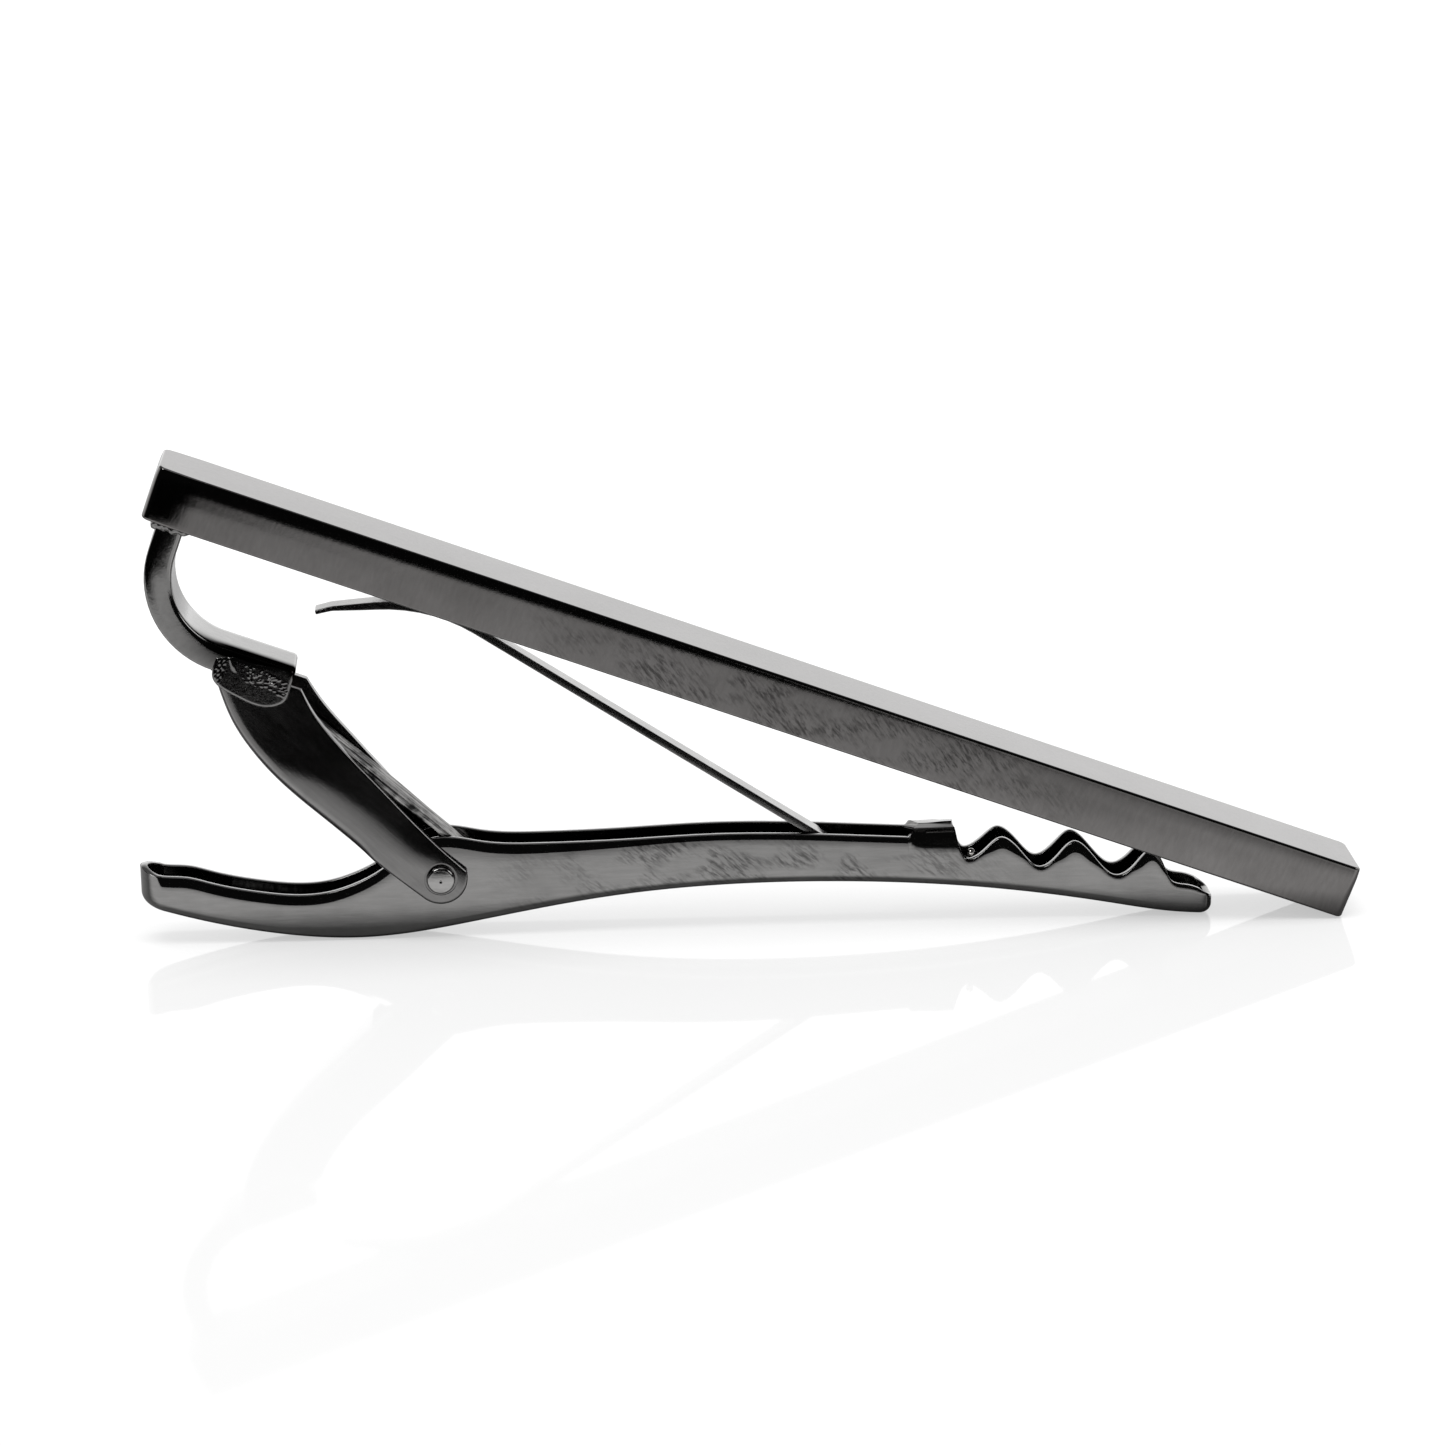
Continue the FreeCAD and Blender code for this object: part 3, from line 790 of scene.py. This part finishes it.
def wall_top(zt, start, lean_full):
    """(inset, z) of the wall's upper part: leaning band, rounded rim, inner side."""
    top = zt - RIM_ROUND
    rows = []
    for share in np.linspace(0, 1, BAND_ROWS):
        lean = lean_full * (0.75 * share + 0.25 * share ** 2)
        rows.append((lean, start + (top - start) * share))
    inner = SHEET + 0.6 * lean_full
    for a in np.linspace(0, math.pi, RIM_ROWS + 2)[1:-1]:
        if a < math.pi / 2:
            inset = lean_full + RIM_ROUND * (1 - math.cos(a))
        elif a > math.pi / 2:
            inset = inner - RIM_ROUND * (1 + math.cos(a))
        else:
            inset = (lean_full + inner) / 2
        rows.append((inset, top + RIM_ROUND * math.sin(a)))
    for share in np.linspace(1, 0, BAND_ROWS):
        lean = lean_full * (0.75 * share + 0.25 * share ** 2)
        rows.append((SHEET + 0.6 * lean, start + (top - start) * share))
    return rows


def ear_top(x, start):
    """The same rows where the wall runs up into an ear and folds over the channel."""
    bend = float(np.interp(x, EAR_AT, EAR_BEND))
    tip = -0.03 - 0.2 * float(smoothstep(22.6, 24.5, x))
    outline = [(-0.925, start), (-0.925, bend), (-0.77, 1.39), (tip, 1.45)]
    line, aims = bent_path(outline, [0.12, 0.2], step=0.05, turn_step=math.radians(8))
    length = lengths_along(line)
    at = np.linspace(0, length[-1], BAND_ROWS)
    point = np.stack([np.interp(at, length, line[:, k]) for k in (0, 1)], 1)
    aim = np.stack([np.interp(at, length, aims[:, k]) for k in (0, 1)], 1)
    aim /= np.linalg.norm(aim, axis=1)[:, None]
    out = np.stack([-aim[:, 1], aim[:, 0]], 1)
    half = SHEET / 2
    rows = [(p[0] + JAW_HALF, p[1]) for p in point + out * half]
    tip_point, tip_aim, tip_out = point[-1], aim[-1], out[-1]
    for a in np.linspace(0, math.pi, RIM_ROWS + 2)[1:-1]:
        bulge = 0.05 * math.sin(a) ** 0.5
        p = tip_point + tip_out * half * math.cos(a) + tip_aim * (bulge - 0.05)
        rows.append((p[0] + JAW_HALF, p[1]))
    rows += [(p[0] + JAW_HALF, p[1]) for p in (point - out * half)[::-1]]
    return rows


def ear_shift(x, share):
    """Ear columns lean along X: the cut ends are slanted."""
    left = np.interp(share, [0, 0.5, 1.0], [EAR_LEFT, 22.27, 22.8])
    right = np.interp(share, [0, 0.5, 1.0], [EAR_RIGHT, 24.55, 24.40])
    t = (x - EAR_LEFT) / (EAR_RIGHT - EAR_LEFT)
    return left + (right - left) * t


def make_jaw_body():
    plan = plan_points()
    x, y, nx, ny = plan.T
    zf = floor_at(x)
    zt = rim_at(x)
    in_ear = (x > EAR_LEFT) & (x < EAR_RIGHT)
    band = np.minimum(band_at(x), 0.6 * (zt - zf - OUTER_FOLD))
    start = np.where(in_ear, 0.20, zt - band)
    lean_full = np.minimum(0.24 * band, 0.11)
    spine_x = np.clip(x, JAW_TAIL + JAW_HALF, JAW_NOSE - 1.0)
    rows = []

    def at_inset(inset, z):
        return np.stack([x - nx * inset, y - ny * inset, z], 1)

    def floor_row(share, inset, lift):
        """Between the spine (share 1) and the outline inset (share 0), on the floor's curve."""
        px = (x - nx * inset) * (1 - share) + spine_x * share
        py = (y - ny * inset) * (1 - share)
        return np.stack([px, py, floor_at(px) + lift], 1)

    rows += [floor_row(share, OUTER_FOLD, 0.0) for share in (1.0, 0.7, 0.35)]
    for a in np.linspace(0, math.pi / 2, 9):
        rows.append(floor_row(0.0, OUTER_FOLD * (1 - math.sin(a)), OUTER_FOLD * (1 - math.cos(a))))
    bottom = floor_at(x) + OUTER_FOLD
    rows += [at_inset(0.0, bottom + (start - bottom) * share) for share in (0.2, 0.4, 0.6, 0.8)]
    count = 2 * BAND_ROWS + RIM_ROWS
    tops = np.empty((count, len(x), 3))
    for i in range(len(x)):
        column = ear_top(x[i], start[i]) if in_ear[i] else wall_top(zt[i], start[i], lean_full[i])
        for r, (inset, z) in enumerate(column):
            px = x[i] - nx[i] * inset
            if in_ear[i]:
                share = min(r, count - 1 - r) / (BAND_ROWS - 1)
                px = ear_shift(x[i], min(share, 1.0))
            tops[r, i] = px, y[i] - ny[i] * inset, z
    rows += list(tops)
    inner_bottom = floor_at(x) + SHEET + INNER_FOLD
    rows += [at_inset(SHEET, inner_bottom + (start - inner_bottom) * share) for share in (0.66, 0.33)]
    for a in np.linspace(math.pi / 2, 0, 5):
        rows.append(floor_row(0.0, SHEET + INNER_FOLD * (1 - math.sin(a)),
                              SHEET + INNER_FOLD * (1 - math.cos(a))))
    rows += [floor_row(share, SHEET + INNER_FOLD, SHEET) for share in (0.5, 1.0)]
    return raw_object("jaw_body", np.concatenate(rows), ring_faces(len(rows), len(x)))


def make_spot_weld():
    """The small blob where the near ear is welded; make_jaw paints it pale as a painted highlight."""
    work = bmesh.new()
    bmesh.ops.create_icosphere(work, subdivisions=4, radius=WELD_RADIUS)
    mesh = mesh_of(work, "spot_weld")
    mesh.transform(Matrix.Translation(SPOT_WELD))
    return linked("spot_weld", mesh)


def make_jaw():
    jaw = joined("alligator_jaw", [make_jaw_body(), make_spot_weld()])
    co = np.array([v.co for v in jaw.data.vertices])
    # Painted highlight: the weld ball's points get the pale colour at more than full strength.
    bright = np.linalg.norm(co - np.array(SPOT_WELD), axis=1) < WELD_RADIUS + 0.01
    vertex_value(jaw, "edge", 2.2 * bright.astype(float))
    return finished(jaw, clip_metal, "jaw", "jaw")


# ---------------------------------------------------------------- lever

def lever_outline(side):
    """One cheek's outline, anticlockwise from the web's foot end, and the rounding of its outer edge."""
    web = curve_through(LEVER_WEB, 200)
    end = [(LEVER_END * math.cos(a), LEVER_END * math.sin(a))
           for a in np.radians(np.linspace(229.6, 375.3, 60))]
    lip = curve_through([end[-1]] + (NEAR_LIP if side < 0 else FAR_LIP), 160)
    parts = [resample(web[::-1], 170), resample([tuple(web[0]), end[0]], 16)[1:], np.array(end)[1:],
             resample(lip, 170)[1:], resample([tuple(lip[-1]), tuple(web[-1])], 24)[1:-1]]
    loop = np.concatenate(parts)
    from_rivet = np.hypot(loop[:, 0], loop[:, 1])
    web_count = len(parts[0])
    radius = np.full(len(loop), 0.10)
    radius[:web_count] = 0.1 + 0.4 * smoothstep(2.6, 4.4, from_rivet[:web_count])
    radius[web_count:web_count + len(parts[1]) + len(parts[2])] = 0.15
    kernel = np.ones(15) / 15
    radius = np.convolve(np.concatenate([radius[-7:], radius, radius[:7]]), kernel, "valid")
    return loop, radius


def cheek_draw(points):
    """How far the near cheek draws in: it turns inwards some way short of its free edge."""
    along = points @ LEVER_WAY
    start = curve_through(DRAW_LINE, 200)
    slope = np.interp(along, DRAW_AT, DRAW_SLOPE)
    into = points @ LEVER_ACROSS - np.interp(along, start[:, 0], start[:, 1])
    turned = np.where(into > DRAW_SOFT, into, (into + DRAW_SOFT) ** 2 / (4 * DRAW_SOFT))
    return slope * np.where(into < -DRAW_SOFT, 0.0, turned)


def capped_prism(name, loop, spine, low, high, caps):
    """A solid between two planes of Y whose end faces are nested rings, so they can be bent."""
    loop = np.asarray(loop, float)
    spine = np.asarray(spine, float)
    shares = np.linspace(0.95, 0.0, caps)
    rings = [(spine * share + loop * (1 - share), low) for share in shares]
    rings += [(spine * share + loop * (1 - share), high) for share in shares[::-1]]
    points = [np.stack([flat[:, 0], np.full(len(flat), y), flat[:, 1]], 1) for flat, y in rings]
    return raw_object(name, np.concatenate(points), shell_faces(len(points), len(loop)))


def prism(name, outline, half):
    n = len(outline)
    points = [(p[0], -half, p[1]) for p in outline] + [(p[0], half, p[1]) for p in outline]
    faces = [tuple(range(n)), tuple(range(2 * n - 1, n - 1, -1))]
    faces += [(k, n + k, n + (k + 1) % n, (k + 1) % n) for k in range(n)]
    return raw_object(name, points, faces)


def ring_tool(radius, depth):
    """Two discs that sink a shallow round seat into both cheeks, under the rivet's heads."""
    turns = 64
    angles = [math.tau * k / turns for k in range(turns)]
    circle = [(radius * math.cos(a), radius * math.sin(a)) for a in angles]
    tools = []
    for side in (-1, 1):
        tool = prism("ring", circle, 0.5)
        tool.data.transform(Matrix.Translation((0, side * (LEVER_HALF + 0.5 - depth), 0)))
        tools.append(tool)
    return tools


def spine_of(loop):
    """Each point's nearest place on the line down the lever's middle."""
    reach = np.clip(loop @ LEVER_WAY, 0.0, LEVER_SPINE[0][-1])
    middle = np.interp(reach, *LEVER_SPINE)
    return reach[:, None] * LEVER_WAY + middle[:, None] * LEVER_ACROSS


def cheek_rings(side):
    """Rings over one outer face of the lever, from its middle out and round its edge."""
    loop, radius = lever_outline(side)
    ahead = np.roll(loop, -1, 0) - np.roll(loop, 1, 0)
    ahead /= np.linalg.norm(ahead, axis=1)[:, None]
    inward = np.stack([-ahead[:, 1], ahead[:, 0]], 1)
    spine = spine_of(loop)
    part = []
    for share in np.linspace(0.999, 0.04, 27):
        flat = spine * share + (loop + inward * radius[:, None]) * (1 - share)
        part.append((flat, np.full(len(loop), LEVER_HALF)))
    for a in np.linspace(0, math.pi / 2, 8):
        flat = loop + inward * (radius * (1 - math.sin(a)))[:, None]
        part.append((flat, LEVER_HALF - radius * (1 - math.cos(a))))
    return [np.stack([flat[:, 0], side * half, flat[:, 1]], 1) for flat, half in part]


def channel_tool():
    """The space between the cheeks, open towards the leaf."""
    inner = resample(curve_through(LEVER_WEB, 200), 60)
    way = np.gradient(inner, axis=0)
    way /= np.linalg.norm(way, axis=1)[:, None]
    inner = inner + np.stack([way[:, 1], -way[:, 0]], 1) * WEB_SHEET
    outline = [tuple(p) for p in inner]
    outline += [(inner[-1][0], 20.0), (20.0, 20.0), (inner[0][0] + 14, inner[0][1] - 14)]
    outline = resample(outline + outline[:1], 260)[:-1]
    return capped_prism("channel", outline, spine_of(outline), -LEVER_INNER, LEVER_INNER, 14)


def web_end_tool():
    """The stretch round the rivet where the lever has no web."""
    zone = [(c * LEVER_WAY[0] - d * LEVER_WAY[1], c * LEVER_WAY[1] + d * LEVER_WAY[0])
            for c, d in ((-WEB_START, -4), (WEB_START, -4), (WEB_START, 4), (-WEB_START, 4))]
    zone = resample(zone + zone[:1], 120)[:-1]
    return capped_prism("zone", zone, np.zeros_like(zone), -LEVER_INNER, LEVER_INNER, 10)


def foot_tool():
    """All that stands above the foot of the arm."""
    low = FOOT_TOP - 1.0
    outline = from_bar([(-25, 0, low), (5, 0, low), (5, 0, 20), (-25, 0, 20)])[:, [0, 2]]
    return prism("above", outline, 5.0)


def make_lever():
    rings = cheek_rings(-1) + cheek_rings(1)[::-1]
    lever = raw_object("clip_lever", np.concatenate(rings), shell_faces(len(rings), len(rings[0])))
    cut_away(lever, channel_tool(), web_end_tool(), foot_tool(), *ring_tool(RING_GROOVE, RING_DEPTH))
    co = mesh_points(lever.data)
    near = co[:, 1] < -0.3
    co[near, 1] *= 1 - cheek_draw(co[near][:, [0, 2]]) / LEVER_HALF
    lever.data.vertices.foreach_set("co", co.ravel())
    tidy_mesh(lever)
    return finished(lever, lever_metal, "lever", "bar", 80)


# ---------------------------------------------------------------- solder

def lump(name, balls, voxel, smooth, relief, seed, scale):
    """Balls of solder melted together: (centre, radii) in the bar's frame."""
    things = []
    for centre, radii in balls:
        ball = bmesh.new()
        bmesh.ops.create_icosphere(ball, subdivisions=3, radius=1.0)
        for v in ball.verts:
            v.co = Vector([c + r * k for c, r, k in zip(centre, radii, v.co)])
        things.append(linked("ball", mesh_of(ball, "ball")))
    whole = joined(name, things)
    melt = whole.modifiers.new("melt", "REMESH")
    melt.mode = "VOXEL"
    melt.voxel_size = voxel
    even = whole.modifiers.new("even", "SMOOTH")
    even.iterations = smooth
    apply_modifiers(whole)
    mesh = whole.data
    co = mesh_points(mesh)
    co = co + mesh_points(mesh, "normal") * (relief * ripple(co, scale, seed))[:, None]
    mesh.vertices.foreach_set("co", from_bar(co).ravel())
    mesh.update()
    return whole


def make_bar_solder():
    balls = []
    rng = np.random.default_rng(7)
    left, right = ARM_OUTER - 0.05, ARM_OUTER + ARM_THICK + 0.05
    side = SOLDER_SIDE
    for k in range(SOLDER_BALLS):
        a, b = divmod(k / SOLDER_BALLS * 4, 1.0)
        s, y = [(left + (right - left) * b, -side), (right, -side + 2 * side * b),
                (right - (right - left) * b, side), (left, side - 2 * side * b)][int(a)]
        r = rng.uniform(0.16, 0.30)
        balls.append(((s, y, BAR_UNDER - 0.06), (r, r, r * rng.uniform(0.8, 1.3))))
    solder = lump("bar_solder_beads", balls, 0.035, 4, 0.02, 3, 0.4)
    return finished(solder, solder_metal, "bar_solder", "bar")


def bead_height(p, outline):
    """How far the melted bead stands out of the cheek at points (s, h) of its side."""
    gap = np.array([np.min(np.linalg.norm(outline - q, axis=1)) for q in p])
    top = np.clip((7.30 - p[:, 1]) / 1.9, 0, 1)
    rise = np.clip(gap / BEAD_EDGE, 0, 1)
    edge = np.sqrt(rise * (2 - rise))
    body = 0.03 + 0.20 * top
    ridge = np.abs((p[:, 0] + 12.62) * 0.82 + (p[:, 1] - 7.0) * 0.57)
    body += 0.05 * np.exp(-(ridge / 0.07) ** 2) * smoothstep(6.55, 6.85, p[:, 1])
    band = p[:, 1] - 6.62 + 0.12 * (p[:, 0] + 11.0)
    grains = smoothstep(-12.1, -11.5, p[:, 0]) * smoothstep(-0.42, -0.3, band)
    grains = grains * smoothstep(0.45, 0.3, band)
    rough = smoothstep(-12.75, -12.95, p[:, 0])
    rng = np.random.default_rng(31)
    specks = np.stack([rng.uniform(-12.2, -9.7, SPECKS), rng.uniform(6.2, 7.15, SPECKS)], 1)
    sizes = rng.uniform(0.025, 0.045, SPECKS)
    for centre, size in zip(specks, sizes):
        body += 0.8 * size * grains * np.exp(-np.sum((p - centre) ** 2, 1) / size ** 2)
    body += 0.014 * rough * ripple(p * [1.0, 0.45], 0.14, 22, 2)
    return edge * np.maximum(body, 0.01)


def make_lever_solder():
    line = resample(curve_through(BEAD_OUTLINE + BEAD_OUTLINE[:1], 500), 330)[:-1]
    shares = [1.0] + list((1 - np.linspace(0, 1, 46)[1:])[:-1])
    halves = []
    for side in (-1, 1):
        rings = [np.stack([line[:, 0], np.full(len(line), side * 1.2), line[:, 1]], 1)]
        for share in shares:
            flat = BEAD_CENTRE + (line - BEAD_CENTRE) * share
            y = side * (LEVER_HALF - 0.01 + bead_height(flat, line))
            rings.append(np.stack([flat[:, 0], y, flat[:, 1]], 1))
        faces = shell_faces(len(rings), len(line))
        halves.append(raw_object("bead", from_bar(np.concatenate(rings)), faces))
    solder = joined("lever_solder_beads", halves)
    return finished(solder, solder_metal, "lever_solder", "bar")


# ---------------------------------------------------------------- stage

# The camera sees an evenly white floor and a white surround. Reflections see painted shade on the floor:
# it is painted dark beyond FRONT_Y and in the near left corner, painted dimmer beside the clip and
# painted darker under it as a painted shadow; the surround is dark but for its back, its top and two
# small bright spots. Metres throughout.
FLOOR_REACH = 0.5
FLOOR_WHITE = 0.27
FLOOR_GLOW = 0.50
FLOOR_MIRRORED = 0.82
FLOOR_ROUGH, FLOOR_IOR = 0.05, 1.28
FRONT_Y, FRONT_SHADE_LEVEL = (-0.088, -0.083), 0.01
CORNER_Y, CORNER_X = (-0.060, -0.055), (-0.041, -0.035)
APRON_Y, APRON_SHADE_LEVEL = (-0.020, -0.009), 0.75
UNDER_Y, UNDER_SHADOW_LEVEL = (-0.0055, -0.0025), 0.25

BACKDROP = 1.65
BACK_Y = (-0.1, 0.3)
BACK_Z, BACK_HIGH = (0.30, 0.62), 0.15
OVERHEAD, OVERHEAD_Z = 1.0, (0.89, 0.96)
SURROUND = 0.012
CAMERA_WHITE = 1.05
DOME = 0.75
SPOTS = [((-0.45, -0.50, 0.72), (0.975, 0.985), 7.0), ((0.85, -0.17, 0.50), (0.955, 0.985), 3.0)]
LAMP_AT, LAMP_SIZE, LAMP_POWER = (0.0, -0.03, 0.35), (0.35, 0.22), 1.6

LENS, SENSOR = 101.04, 36.0
CAMERA_AT = (3.1473, -182.4324, 64.6459)
CAMERA_RIGHT = (0.9982, -0.0592, -0.0087)
CAMERA_BACK = (-0.0539, -0.9520, 0.3012)


def axes_of(tree, kind, output):
    """The X, Y and Z sockets of a coordinate node."""
    where = tree.nodes.new(kind)
    split = tree.nodes.new("ShaderNodeSeparateXYZ")
    tree.links.new(where.outputs[output], split.inputs[0])
    return split.outputs


def make_floor():
    reach = FLOOR_REACH
    mesh = bpy.data.meshes.new("floor")
    corners = [(-reach, -reach, 0), (reach, -reach, 0), (reach, reach, 0), (-reach, reach, 0)]
    mesh.from_pydata(corners, [], [(0, 1, 2, 3)])
    material, tree, shader = nodes_of("white_sweep")
    place_of = axes_of(tree, "ShaderNodeNewGeometry", "Position")
    # Painted shade, seen only by reflections: the dark corner and front, the dimmer apron and the painted
    # shadow under the clip.
    corner = combine(tree, "MAXIMUM", mapped(tree, place_of["Y"], *CORNER_Y, 0.0, 1.0),
                     mapped(tree, place_of["X"], *CORNER_X, 0.0, 1.0))
    front = combine(tree, "MULTIPLY", corner,
                    mapped(tree, place_of["Y"], *FRONT_Y, FRONT_SHADE_LEVEL, 1.0))
    near = combine(tree, "MULTIPLY", mapped(tree, place_of["Y"], *APRON_Y, APRON_SHADE_LEVEL, 1.0),
                   mapped(tree, place_of["Y"], *UNDER_Y, 1.0, UNDER_SHADOW_LEVEL))
    shade = combine(tree, "MULTIPLY", combine(tree, "MULTIPLY", front, near), FLOOR_MIRRORED)
    reflected = mix_colour(tree, shade, (0.0, 0.0, 0.0), (1.0, 1.0, 1.0))
    seen = tree.nodes.new("ShaderNodeLightPath").outputs["Is Camera Ray"]
    colour = mix_colour(tree, seen, reflected, (FLOOR_WHITE, FLOOR_WHITE, FLOOR_WHITE))
    tree.links.new(colour, shader.inputs["Base Color"])
    shader.inputs["Emission Color"].default_value = (1, 1, 1, 1)
    tree.links.new(combine(tree, "MULTIPLY", seen, FLOOR_GLOW), shader.inputs["Emission Strength"])
    shader.inputs["Roughness"].default_value = FLOOR_ROUGH
    shader.inputs["IOR"].default_value = FLOOR_IOR
    mesh.materials.append(material)
    linked("floor", mesh)


def spot_levels(tree, way):
    """Small bright spots of the surround, each round one direction."""
    total = 0.0
    for aim, (low, high), level in SPOTS:
        dot = add(tree, "ShaderNodeVectorMath", operation="DOT_PRODUCT")
        tree.links.new(way.outputs["Generated"], dot.inputs[0])
        dot.inputs[1].default_value = Vector(aim).normalized()
        total = combine(tree, "ADD", total, mapped(tree, dot.outputs["Value"], low, high, 0.0, level))
    return total


def make_world():
    world = bpy.data.worlds.new("studio")
    bpy.context.scene.world = world
    world.use_nodes = True
    tree = world.node_tree
    background = tree.nodes["Background"]
    way = tree.nodes.new("ShaderNodeTexCoord")
    split = tree.nodes.new("ShaderNodeSeparateXYZ")
    tree.links.new(way.outputs["Generated"], split.inputs[0])
    high = mapped(tree, split.outputs["Z"], *OVERHEAD_Z, SURROUND, OVERHEAD)
    back = mapped(tree, split.outputs["Y"], *BACK_Y, 0.0, BACKDROP)
    back = combine(tree, "MULTIPLY", back, mapped(tree, split.outputs["Z"], *BACK_Z, 1.0, BACK_HIGH))
    level = combine(tree, "MAXIMUM", high, back)
    ray = tree.nodes.new("ShaderNodeLightPath").outputs
    spots = combine(tree, "MULTIPLY", spot_levels(tree, way), ray["Is Glossy Ray"])
    level = combine(tree, "ADD", level, spots)
    for kind, least in (("Is Camera Ray", CAMERA_WHITE), ("Is Diffuse Ray", DOME)):
        level = combine(tree, "MAXIMUM", level, combine(tree, "MULTIPLY", ray[kind], least))
    tree.links.new(level, background.inputs["Strength"])
    background.inputs["Color"].default_value = (1, 1, 1, 1)


def make_lamp():
    data = bpy.data.lights.new("overhead", "AREA")
    data.shape = "RECTANGLE"
    data.size, data.size_y = LAMP_SIZE
    data.energy = LAMP_POWER
    lamp = linked("overhead", data)
    lamp.location = LAMP_AT
    lamp.visible_glossy = False
    lamp.rotation_euler = (-Vector(LAMP_AT)).to_track_quat("-Z", "Y").to_euler()


def make_camera():
    data = bpy.data.cameras.new("camera")
    data.sensor_width = SENSOR
    data.lens = LENS
    data.clip_start = 0.005
    data.clip_end = 5.0
    camera = linked("camera", data)
    back = Vector(CAMERA_BACK).normalized()
    up = back.cross(Vector(CAMERA_RIGHT)).normalized()
    turn = Matrix((up.cross(back), up, back)).transposed().to_4x4()
    camera.matrix_world = Matrix.Translation(place([CAMERA_AT])[0]) @ turn
    bpy.context.scene.camera = camera


make_bar()
make_arm()
make_hairpin()
make_leaf()
make_rivet()
make_jaw()
make_lever()
make_bar_solder()
make_lever_solder()
make_floor()
make_world()
make_lamp()
make_camera()
bpy.context.scene.view_settings.view_transform = "Standard"
